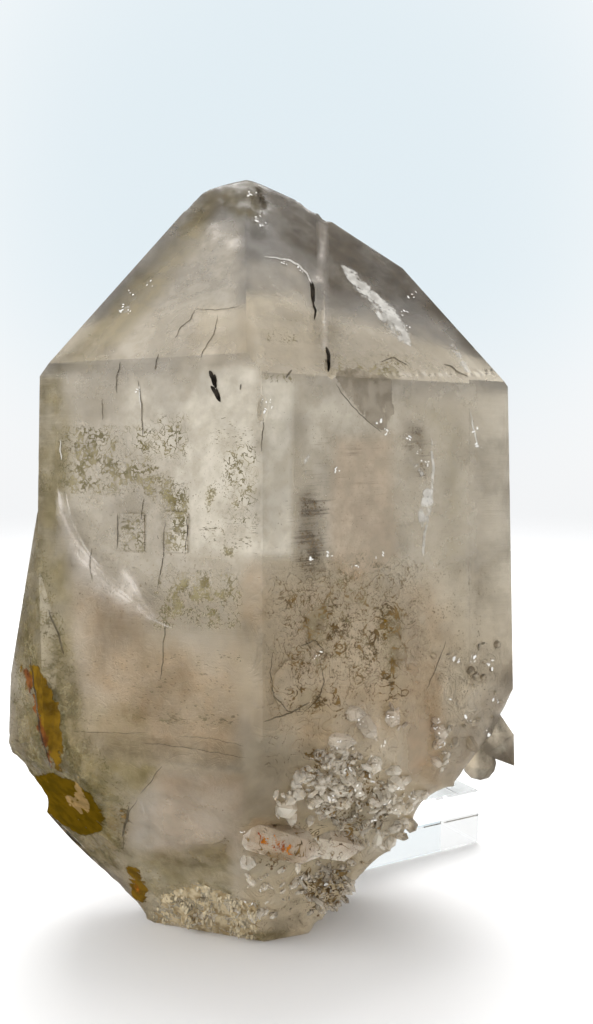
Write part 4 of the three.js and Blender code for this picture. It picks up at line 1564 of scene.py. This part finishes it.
@dataclass
class SurfaceFilm:
    """A thin film on the surface: the body's own faces, lifted a little, with what lies or is painted there.
    """

    groups: Groups
    body: bpy.types.Object
    name: str
    places: Places
    lift: float
    underside: float = 0.1
    cloud_scale: float = 0.085
    cloud_gap: float = 0.06
    cloud_strength: float = 0.9

    def build(self) -> bpy.types.Object:
        """Builds and dresses the film.

        Returns:
            The finished piece.
        """
        piece = copy_piece(self.body, self.name)
        mesh = piece.data
        for name in (*BODY_MASKS, "broad"):
            mesh.attributes.remove(mesh.attributes[name])
        covered = self.paint(mesh)
        keep_faces(piece, faces_with(mesh, covered))
        places, normals = vertex_arrays(mesh)
        move_vertices(mesh, places + normals * self.lift * MM)
        give_materials(piece, film_material(self.name, self.places, self.groups))
        mesh.polygons.foreach_set("material_index", np.zeros(len(mesh.polygons), np.int32))
        return finish_piece(piece)

    def paint(self, mesh: bpy.types.Mesh) -> np.ndarray:
        """Stores the strength of every deposit and of the painted light and shade.

        Args:
            mesh: The film's mesh.

        Returns:
            Whether anything that can be seen lies at each vertex.
        """
        places, normals = vertex_arrays(mesh)
        pixels, facing = PHOTOGRAPH.pixels(places), PHOTOGRAPH.sees(places, normals)
        covered = np.zeros(len(places), bool)
        for deposit, patches in self.places.items():
            strength = self.clouds(deposit, places)
            for patch in patches:
                here = patch.at(places) if isinstance(patch, Blob) else patch.at(pixels) * facing
                strength = np.maximum(strength, here)
            set_values(mesh, deposit.value.name, strength)
            covered |= strength > 0
        return covered & (places[:, 2] > self.underside * MM)

    def clouds(self, deposit: DepositOrPaintedLight, places: np.ndarray) -> np.ndarray:
        """Uneven painted light and shade all over the body, for its inner reflections and to break up its
        tone.

        Args:
            deposit: Kind of deposit.
            places: Vertices of the body.

        Returns:
            Strength at each vertex.
        """
        if deposit not in (DepositOrPaintedLight.HAZE_AND_LIGHT, DepositOrPaintedLight.SMOKE_AND_SHADE):
            return np.zeros(len(places))
        # Lighter blotches are painted light, darker ones painted shade.
        sign = 1 if deposit is DepositOrPaintedLight.HAZE_AND_LIGHT else -1
        scaled = [Vector(place) / MM * self.cloud_scale for place in places]
        swell = np.array([noise.fractal(place, 0.8, 2.1, 4) for place in scaled])
        return np.clip(sign * swell - self.cloud_gap, 0, 0.5) * self.cloud_strength


@dataclass(frozen=True)
class Flaw:
    """A thin sheet by its outline in pixels and its depth in millimetres; a negative depth is outside."""

    deposit: DepositOrPaintedLight
    outline: tuple[Pixel, ...]
    depth: float = -0.1
    soft: float = 3.0


@dataclass(frozen=True)
class Crack:
    """A fine crack by the pixels that it passes, with its width in millimetres."""

    path: tuple[Pixel, ...]
    width: float = 0.28
    deposit: DepositOrPaintedLight = DepositOrPaintedLight.CRACK
    strength: float = 1.0


@dataclass
class Flaws:
    """Veils, fractures, cracks, painted shade and painted glints, on the surface of the quartz and in it."""

    groups: Groups
    front: CrystalFront
    flaws: tuple[Flaw, ...] = (
        Flaw(DepositOrPaintedLight.BRIGHT, ((338, 262), (350, 266), (363, 276), (379, 294), (396, 309), (408, 327),
                (414, 349), (400, 344), (386, 330), (371, 311), (358, 295), (346, 280)), soft=4),
        Flaw(DepositOrPaintedLight.WEDGE, ((333, 374), (348, 366), (392, 378), (394, 414), (384, 433), (366, 420),
                (346, 396)), soft=2),
        Flaw(DepositOrPaintedLight.BRIGHT, ((319, 292), (325, 292), (325, 352), (322, 352))),
        Flaw(DepositOrPaintedLight.BRIGHT, ((417, 518), (421, 492), (431, 484), (434, 500), (428, 522), (421, 532)),
                soft=2),
        Flaw(DepositOrPaintedLight.BRIGHT, ((404, 452), (408, 452), (426, 474), (422, 480)), soft=3),
        Flaw(DepositOrPaintedLight.BRIGHT, ((446, 334), (452, 334), (466, 360), (474, 376), (464, 374), (450, 352)),
                soft=6),
        Flaw(DepositOrPaintedLight.BRIGHT, ((398, 344), (402, 342), (432, 366), (428, 369)), soft=4),
        Flaw(DepositOrPaintedLight.BRIGHT, ((303, 476), (302, 460), (311, 448), (314, 450), (307, 464), (306, 476)),
                soft=4),
        Flaw(DepositOrPaintedLight.BRIGHT, ((119, 312), (134, 294), (138, 296), (132, 312), (120, 318)), soft=9),
        Flaw(DepositOrPaintedLight.BRIGHT, ((250, 186), (254, 184), (256, 204), (252, 206)), soft=3),
        Flaw(DepositOrPaintedLight.BRIGHT, ((246, 208), (266, 222), (268, 232), (252, 222)), soft=7),
        Flaw(DepositOrPaintedLight.VEIL, ((306, 282), (316, 264), (320, 240), (326, 240), (326, 286), (310, 286)), soft=8),
        Flaw(DepositOrPaintedLight.VEIL, ((319, 216), (326, 218), (326, 352), (321, 352)), soft=5),
        # Painted shade: a dark sheet over the apex chip, whose facet would catch the lamp.
        Flaw(DepositOrPaintedLight.CRACK, ((253, 183), (259, 185), (266, 196), (271, 213), (261, 211), (256, 200)),
                soft=5),
        Flaw(DepositOrPaintedLight.OLIVE_FILM, ((28, 668), (62, 690), (74, 770), (108, 800), (106, 836), (52, 812),
                (30, 760)), 1.2),
        Flaw(DepositOrPaintedLight.VEIL, ((162, 768), (244, 778), (240, 850), (200, 872), (150, 860), (126, 836),
                (146, 790)), 4),
        Flaw(DepositOrPaintedLight.VEIL, ((60, 500), (90, 560), (150, 612), (120, 622), (80, 590), (54, 540)), 3),
        # Painted shade along the upper right rim.
        Flaw(DepositOrPaintedLight.SMOKE_AND_SHADE, ((350, 258), (384, 262), (412, 292), (430, 318), (404, 312), (384, 296),
                (364, 276)), 4),
    )
    cracks: tuple[Crack, ...] = (
        Crack(((195, 310), (190, 320), (182, 327), (175, 338)), 0.17),
        Crack(((195, 309), (215, 310), (240, 307)), 0.12),
        Crack(((218, 315), (214, 335), (204, 350), (200, 358)), 0.18),
        Crack(((121, 362), (117, 376), (117, 393)), 0.22),
        Crack(((158, 354), (157, 362), (155, 370)), 0.22), Crack(((138, 380), (142, 404), (143, 436)), 0.2),
        Crack(((102, 398), (103, 420)), 0.15),
        Crack(((165, 520), (163, 560), (160, 575), (158, 590)), 0.17),
        Crack(((92, 548), (90, 566), (93, 582)), 0.2), Crack(((144, 498), (141, 512), (141, 520)), 0.18),
        Crack(((118, 514), (118, 530), (117, 550)), 0.17),
        Crack(((187, 515), (187, 532), (185, 556)), 0.15), Crack(((48, 610), (58, 633), (64, 655)), 0.3),
        Crack(((167, 620), (164, 640), (163, 662), (160, 680)), 0.2), Crack(((241, 384), (240, 390)), 0.22),
        Crack(((264, 418), (262, 440), (261, 452)), 0.17), Crack(((444, 364), (456, 370), (468, 377)), 0.3),
        Crack(((263, 722), (278, 717), (292, 712), (310, 702)), 0.26),
        Crack(((273, 650), (270, 672), (274, 696), (288, 711), (304, 712)), 0.17),
        Crack(((304, 712), (318, 700), (324, 682), (320, 660)), 0.15),
        Crack(((300, 646), (314, 640), (324, 650)), 0.18),
        Crack(((336, 384), (350, 404), (366, 420), (382, 432)), 0.15),
        Crack(((426, 690), (434, 672), (446, 640)), 0.15), Crack(((70, 731), (110, 733), (150, 733)), 0.09),
        Crack(((162, 766), (150, 782), (140, 794)), 0.15),
        Crack(((138, 798), (130, 810), (124, 833), (123, 852)), 0.14),
        Crack(((380, 362), (394, 358), (408, 366)), 0.22),
        Crack(((129, 806), (126, 822), (122, 838)), 0.38), Crack(((286, 378), (290, 373), (292, 370)), 0.3),
        Crack(((30, 656), (35, 690), (40, 730), (52, 772)), 0.24),
        Crack(((139, 384), (140, 396), (141, 410)), 0.18, DepositOrPaintedLight.BRIGHT),
        Crack(((60, 440), (61, 450), (61, 460)), 0.22, DepositOrPaintedLight.BRIGHT),
        Crack(((470, 410), (474, 432), (479, 452)), 0.22, DepositOrPaintedLight.BRIGHT),
        Crack(((264, 257), (284, 259), (298, 264), (306, 273), (312, 284)), 0.3, DepositOrPaintedLight.BRIGHT),
        Crack(((431, 438), (433, 470), (431, 500)), 0.4, DepositOrPaintedLight.BRIGHT),
        Crack(((428, 518), (424, 538), (423, 556)), 0.45, DepositOrPaintedLight.BRIGHT),
        Crack(((58, 488), (62, 512), (70, 532), (80, 548), (92, 560)), 0.6, DepositOrPaintedLight.VEIL, 0.45),
        Crack(((66, 492), (70, 514), (78, 534), (88, 552), (102, 568)), 0.35, DepositOrPaintedLight.VEIL, 0.4),
        Crack(((76, 552), (92, 572), (110, 588), (130, 602)), 0.6, DepositOrPaintedLight.VEIL, 0.4),
        Crack(((96, 566), (112, 584), (130, 598), (150, 614)), 0.4, DepositOrPaintedLight.VEIL, 0.4),
        Crack(((122, 570), (134, 584), (142, 600), (156, 618)), 0.8, DepositOrPaintedLight.VEIL, 0.35),
        Crack(((134, 604), (150, 618), (172, 628)), 0.4, DepositOrPaintedLight.VEIL, 0.4),
        Crack(((209, 371), (213, 378), (216, 388)), 0.75, DepositOrPaintedLight.BLACK),
        Crack(((215, 374), (216, 381), (215, 388)), 0.3, DepositOrPaintedLight.BLACK),
        Crack(((211, 386), (216, 393), (220, 402)), 0.7, DepositOrPaintedLight.BLACK),
        Crack(((216, 388), (219, 394), (220, 399)), 0.28, DepositOrPaintedLight.BLACK),
        Crack(((311, 281), (313, 290), (313, 304)), 0.7, DepositOrPaintedLight.BLACK),
        Crack(((313, 302), (315, 310), (315, 320)), 0.35, DepositOrPaintedLight.BLACK),
        Crack(((326, 347), (329, 356), (328, 372)), 0.6, DepositOrPaintedLight.BLACK),
        Crack(((140, 742), (190, 748), (246, 758)), 0.12), Crack(((176, 736), (210, 738), (244, 746)), 0.1),
    )
    # Painted glints: pixels where white flakes stand in for sparkle, with how far they spread.
    painted_glints: tuple[tuple[Pixel, float], ...] = (
        ((132, 293), 4), ((122, 309), 4), ((131, 313), 3), ((150, 284), 3), ((412, 296), 5),
        ((403, 315), 4), ((406, 330), 4), ((138, 392), 3), ((265, 402), 5), ((268, 408), 4),
        ((453, 657), 7), ((475, 660), 5), ((490, 666), 6), ((494, 701), 4), ((467, 719), 5),
        ((284, 264), 3), ((300, 270), 3), ((380, 424), 5), ((386, 432), 3), ((475, 432), 4),
        ((478, 446), 4), ((447, 700), 3), ((438, 730), 4), ((318, 655), 4), ((252, 196), 4),
        ((258, 220), 4), ((262, 226), 4), ((420, 450), 4), ((410, 440), 4), ((424, 462), 4),
        ((330, 556), 4), ((380, 556), 5), ((440, 720), 4), ((484, 730), 5), ((242, 830), 4),
        ((400, 790), 5), ((412, 796), 4), ((374, 760), 5), ((368, 776), 5), ((384, 744), 4),
        ((250, 905), 5), ((262, 890), 4), ((345, 770), 5), ((360, 790), 5), ((330, 800), 5),
        ((385, 800), 5), ((352, 815), 4), ((372, 820), 4), ((395, 812), 4), ((310, 790), 4),
        ((340, 745), 4), ((360, 722), 4), ((390, 716), 4), ((442, 746), 4), ((300, 880), 4),
        ((330, 885), 4), ((268, 905), 4), ((354, 568), 4), ((310, 560), 4), ((336, 470), 3),
    )
    flakes: int = 4
    seed: int = 19
    cell: float = 2.0
    most_cells: int = 44
    margin: float = 3.0
    bend: float = 0.25
    crack_height: float = 0.12
    crack_steps: int = 8
    crack_wander: float = 1.2
    front_gap: float = 20.0
    flake_height: float = 0.16

    def build(self) -> list[bpy.types.Object]:
        """Builds the piece on the surface and the one in the quartz.

        Returns:
            The finished pieces.
        """
        marks = [self.sheet(flaw) for flaw in self.flaws if flaw.depth < 0]
        marks += [self.ribbon(crack) for crack in self.cracks]
        marks += self.painted_glint_flakes()
        veils = [self.sheet(flaw) for flaw in self.flaws if flaw.depth > 0]
        return [self.dress(marks, "surface_marks"), self.dress(veils, "inner_veils")]

    def dress(self, parts: list[bpy.types.Object], name: str) -> bpy.types.Object:
        """Joins sheets into one piece with one material.

        Args:
            parts: The sheets.
            name: Name of the piece.

        Returns:
            The finished piece.
        """
        piece = join(parts, name)
        present = [deposit for deposit in DepositOrPaintedLight if deposit.value.name in piece.data.attributes]
        give_materials(piece, film_material(name, present, self.groups))
        return finish_piece(piece)

    def sheet(self, flaw: Flaw) -> bpy.types.Object:
        """Builds a sheet that fills an outline, with its strength fading at the rim.

        Args:
            flaw: The sheet's outline and depth.

        Returns:
            The sheet.
        """
        deselect_all()
        corners = np.array(flaw.outline, float)
        low, high = corners.min(0), corners.max(0)
        cells = [max(3, min(self.most_cells, int(size / self.cell))) for size in high - low]
        bpy.ops.mesh.primitive_grid_add(x_subdivisions=cells[0], y_subdivisions=cells[1], size=2)
        piece = bpy.context.object
        mesh = piece.data
        shares = np.array([(vertex.co.x, -vertex.co.y) for vertex in mesh.vertices]) * 0.5 + 0.5
        pixels = low - self.margin + shares * (high - low + 2 * self.margin)
        strength = Region(flaw.outline, flaw.soft).at(pixels)
        lost = []
        for vertex, (u, v) in zip(mesh.vertices, pixels):
            bend = self.bend * max(flaw.depth, 0) * noise.noise(Vector((u * 0.04, v * 0.04, flaw.depth)))
            point = self.front.inside(u, v, flaw.depth + bend)
            lost.append(point is None)
            vertex.co = point or Vector()
        set_values(mesh, flaw.deposit.value.name, strength)
        keep_faces(piece, faces_with(mesh, strength > 0) & ~faces_with(mesh, lost))
        bpy.ops.object.shade_smooth()
        return piece

    def ribbon(self, crack: Crack) -> bpy.types.Object:
        """Builds a crack as a thin strip on the surface, pointed at both ends.

        Args:
            crack: The crack's path, width and strength.

        Returns:
            The strip.
        """
        deselect_all()
        steps = self.crack_steps * (len(crack.path) - 1)
        bpy.ops.mesh.primitive_grid_add(x_subdivisions=steps, y_subdivisions=1, size=2)
        piece = bpy.context.object
        mesh = piece.data
        path = [Vector((*pixel, 0)) for pixel in crack.path]
        pixel_width = crack.width * PHOTOGRAPH.focal_pixels / (PHOTOGRAPH.distance - self.front_gap)
        for vertex in mesh.vertices:
            share = (vertex.co.x * 0.5 + 0.5) * (len(path) - 1)
            start = min(int(share), len(path) - 2)
            side = path[start + 1] - path[start]
            across = Vector((-side.y, side.x, 0)).normalized()
            middle = path[start] + side * (share - start)
            taper = math.sqrt(max(1 - abs(vertex.co.x) ** 3, 0.02))
            wander = self.crack_wander * noise.noise(Vector((middle.x * 0.13, middle.y * 0.13, 7)))
            here = middle + across * (vertex.co.y * 0.5 * pixel_width * taper + wander)
            vertex.co = self.front.inside(here.x, here.y, -self.crack_height) or Vector()
        set_values(mesh, crack.deposit.value.name, np.full(len(mesh.vertices), crack.strength))
        lost = [vertex.co.length == 0 for vertex in mesh.vertices]
        keep_faces(piece, ~faces_with(mesh, lost))
        return piece

    def painted_glint_flakes(self) -> list[bpy.types.Object]:
        """Builds small white flakes, as painted glints, where the quartz glitters."""
        draw = random.Random(self.seed)
        flakes = [self.flake(middle, spread, draw) for middle, spread in self.painted_glints
                  for _ in range(self.flakes)]
        return [flake for flake in flakes if flake]

    def flake(self, middle: Pixel, spread: float, draw: random.Random) -> bpy.types.Object | None:
        """Builds one white flake on the surface, as a painted glint.

        Args:
            middle: Pixel that it lies around.
            spread: How far from there it may lie, in pixels.
            draw: Source of the random numbers.

        Returns:
            The flake, or None where it would lie beside the crystal.
        """
        found = self.front.surface(*[part + draw.uniform(-spread, spread) for part in middle])
        size = draw.uniform(0.025, 0.11) * spread * MM
        lean = Vector([draw.uniform(-0.5, 0.5) for _ in range(3)])
        spin = Matrix.Rotation(draw.uniform(0, math.tau), 3, "Z") @ Matrix.Diagonal((1, 0.5, 1))
        if not found:
            return None
        point, normal = found
        deselect_all()
        bpy.ops.mesh.primitive_circle_add(vertices=5, radius=size, fill_type="TRIFAN")
        flake = bpy.context.object
        turn = (normal + lean).to_track_quat("Z", "Y").to_matrix() @ spin
        place = Matrix.Translation(point + normal * self.flake_height * MM)
        flake.data.transform(place @ turn.to_4x4())
        set_values(flake.data, DepositOrPaintedLight.PAINTED_GLINT.value.name, np.ones(len(flake.data.vertices)))
        return flake


@dataclass(frozen=True)
class GrainKind:
    """Grains of one colour: their patches, each with its number of grains, and their size.

    The sizes are the least and greatest half-width in millimetres. Slender tells how long a grain may be
    for its width; slender grains stand upright.
    """

    name: str
    colour: Colour
    sizes: tuple[float, float]
    slender: float
    patches: tuple[tuple[Region, int], ...]

    def material(self) -> bpy.types.Material:
        """Makes the grains' material."""
        material, board, shader = new_material(self.name)
        dark = tuple(channel * 0.45 for channel in self.colour)
        share = board.ramp(board.noise(board.place(), 1100), 0.35, 0.65)
        shade = board.mix(share, (*dark, 1), (*self.colour, 1))
        board.fill(shader, {"Base Color": shade, "Roughness": DUSTY_ROUGHNESS})
        return material

    def placement(self, region: Region, front: CrystalFront, draw: random.Random) -> Matrix | None:
        """Draws the place of one grain.

        Args:
            region: The patch that it lies in.
            front: The front of the crystal.
            draw: Source of the random numbers.

        Returns:
            Its size, turn and place, or None where it would lie beside the patch or the surface.
        """
        pixel = region.pick(draw)
        radius = draw.uniform(*self.sizes) * MM
        tilt = math.pi / self.slender**1.8
        turn = Euler([draw.uniform(-tilt, tilt) for _ in range(3)]).to_matrix().to_4x4()
        length = radius * self.slender * draw.uniform(0.5, 1)
        shape = Matrix.Diagonal((radius, radius * draw.uniform(0.6, 1), length, 1))
        found = front.surface(*pixel)
        if not found or not region.holds(pixel):
            return None
        return Matrix.Translation(found[0]) @ turn @ shape


@dataclass
class DruseDirt:
    """Brown and pale grains that fill the gaps between the small crystals."""

    front: CrystalFront
    seed: int = 23
    kinds: tuple[GrainKind, ...] = (
        GrainKind("brown_grains", (0.22, 0.14, 0.07), (0.1, 0.3), 1.0, (
            (Region(((318, 800), (345, 790), (372, 812), (366, 832), (335, 826))), 40),
            (Region(((286, 878), (345, 868), (350, 896), (318, 916))), 30),
            (Region(((262, 848), (286, 856), (290, 872), (268, 868))), 20),
            (Region(((330, 690), (345, 706), (350, 722), (336, 724))), 12),
        )),
        GrainKind("pale_grains", (0.66, 0.56, 0.38), (0.15, 0.34), 3.2, (
            (Region(((156, 896), (200, 884), (238, 896), (260, 904), (258, 938), (200, 936), (152, 926))),
             220),
        )),
    )

    def build(self) -> list[bpy.types.Object]:
        """Builds one piece of each kind of grain."""
        return [self.grains(kind) for kind in self.kinds]

    def grains(self, kind: GrainKind) -> bpy.types.Object:
        """Scatters grains of a kind over its patches and joins them.

        Args:
            kind: The kind of grain.

        Returns:
            The finished piece.
        """
        draw = random.Random(self.seed)
        lumps = scatter(self.model(), [kind.placement(region, self.front, draw)
                                       for region, count in kind.patches for _ in range(count)])
        piece = join(lumps, kind.name)
        give_materials(piece, kind.material())
        return finish_piece(piece)

    @staticmethod
    def model() -> bpy.types.Object:
        """Models one lump of unit size."""
        deselect_all()
        bpy.ops.mesh.primitive_ico_sphere_add(subdivisions=2, radius=1)
        lump = bpy.context.object
        for vertex in lump.data.vertices:
            vertex.co *= 1 + 0.35 * noise.noise(vertex.co * 1.7)
        return lump


@dataclass
class ClearBlock:
    """The clear block, which keeps its solid and gets a clear finish."""

    node: str = "clear_block"
    tint: Colour = (0.97, 0.985, 0.98)
    roughness: tuple[float, float] = (0.02, 0.09)
    refraction: float = 1.49

    def build(self) -> bpy.types.Object:
        """Dresses the block."""
        material, board, shader = new_material("clear_acrylic")
        rough = board.ramp(board.noise(board.place(), 160), 0.4, 0.7, *self.roughness)
        board.fill(shader, {
            "Base Color": (*self.tint, 1), "Roughness": rough, "Transmission Weight": 1.0,
            "IOR": self.refraction,
        })
        block = frame["nodes"][self.node]
        give_materials(block, material)
        return block


def main() -> None:
    """Builds the camera, the studio and the pieces in order."""
    logging.basicConfig(level=logging.INFO, format="%(message)s")
    bpy.context.scene.view_settings.view_transform = "Standard"
    PHOTOGRAPH.camera()
    Studio().build()
    groups = Groups()
    body = CrystalBody(groups).build()
    front = CrystalFront(body)
    pieces = [body, ClearBlock().build()]
    pieces.append(SurfaceFilm(groups, body, "veils_and_painted_light", VEILS_AND_PAINTED_LIGHT, 0.03).build())
    pieces.append(SurfaceFilm(groups, body, "surface_stains", STAINS, 0.06).build())
    pieces += Flaws(groups, front).build()
    pieces += DruseDirt(front).build()
    for piece in pieces:
        log.info("%s: %d faces", piece.name, len(piece.data.polygons))


if __name__ == "__main__":
    main()
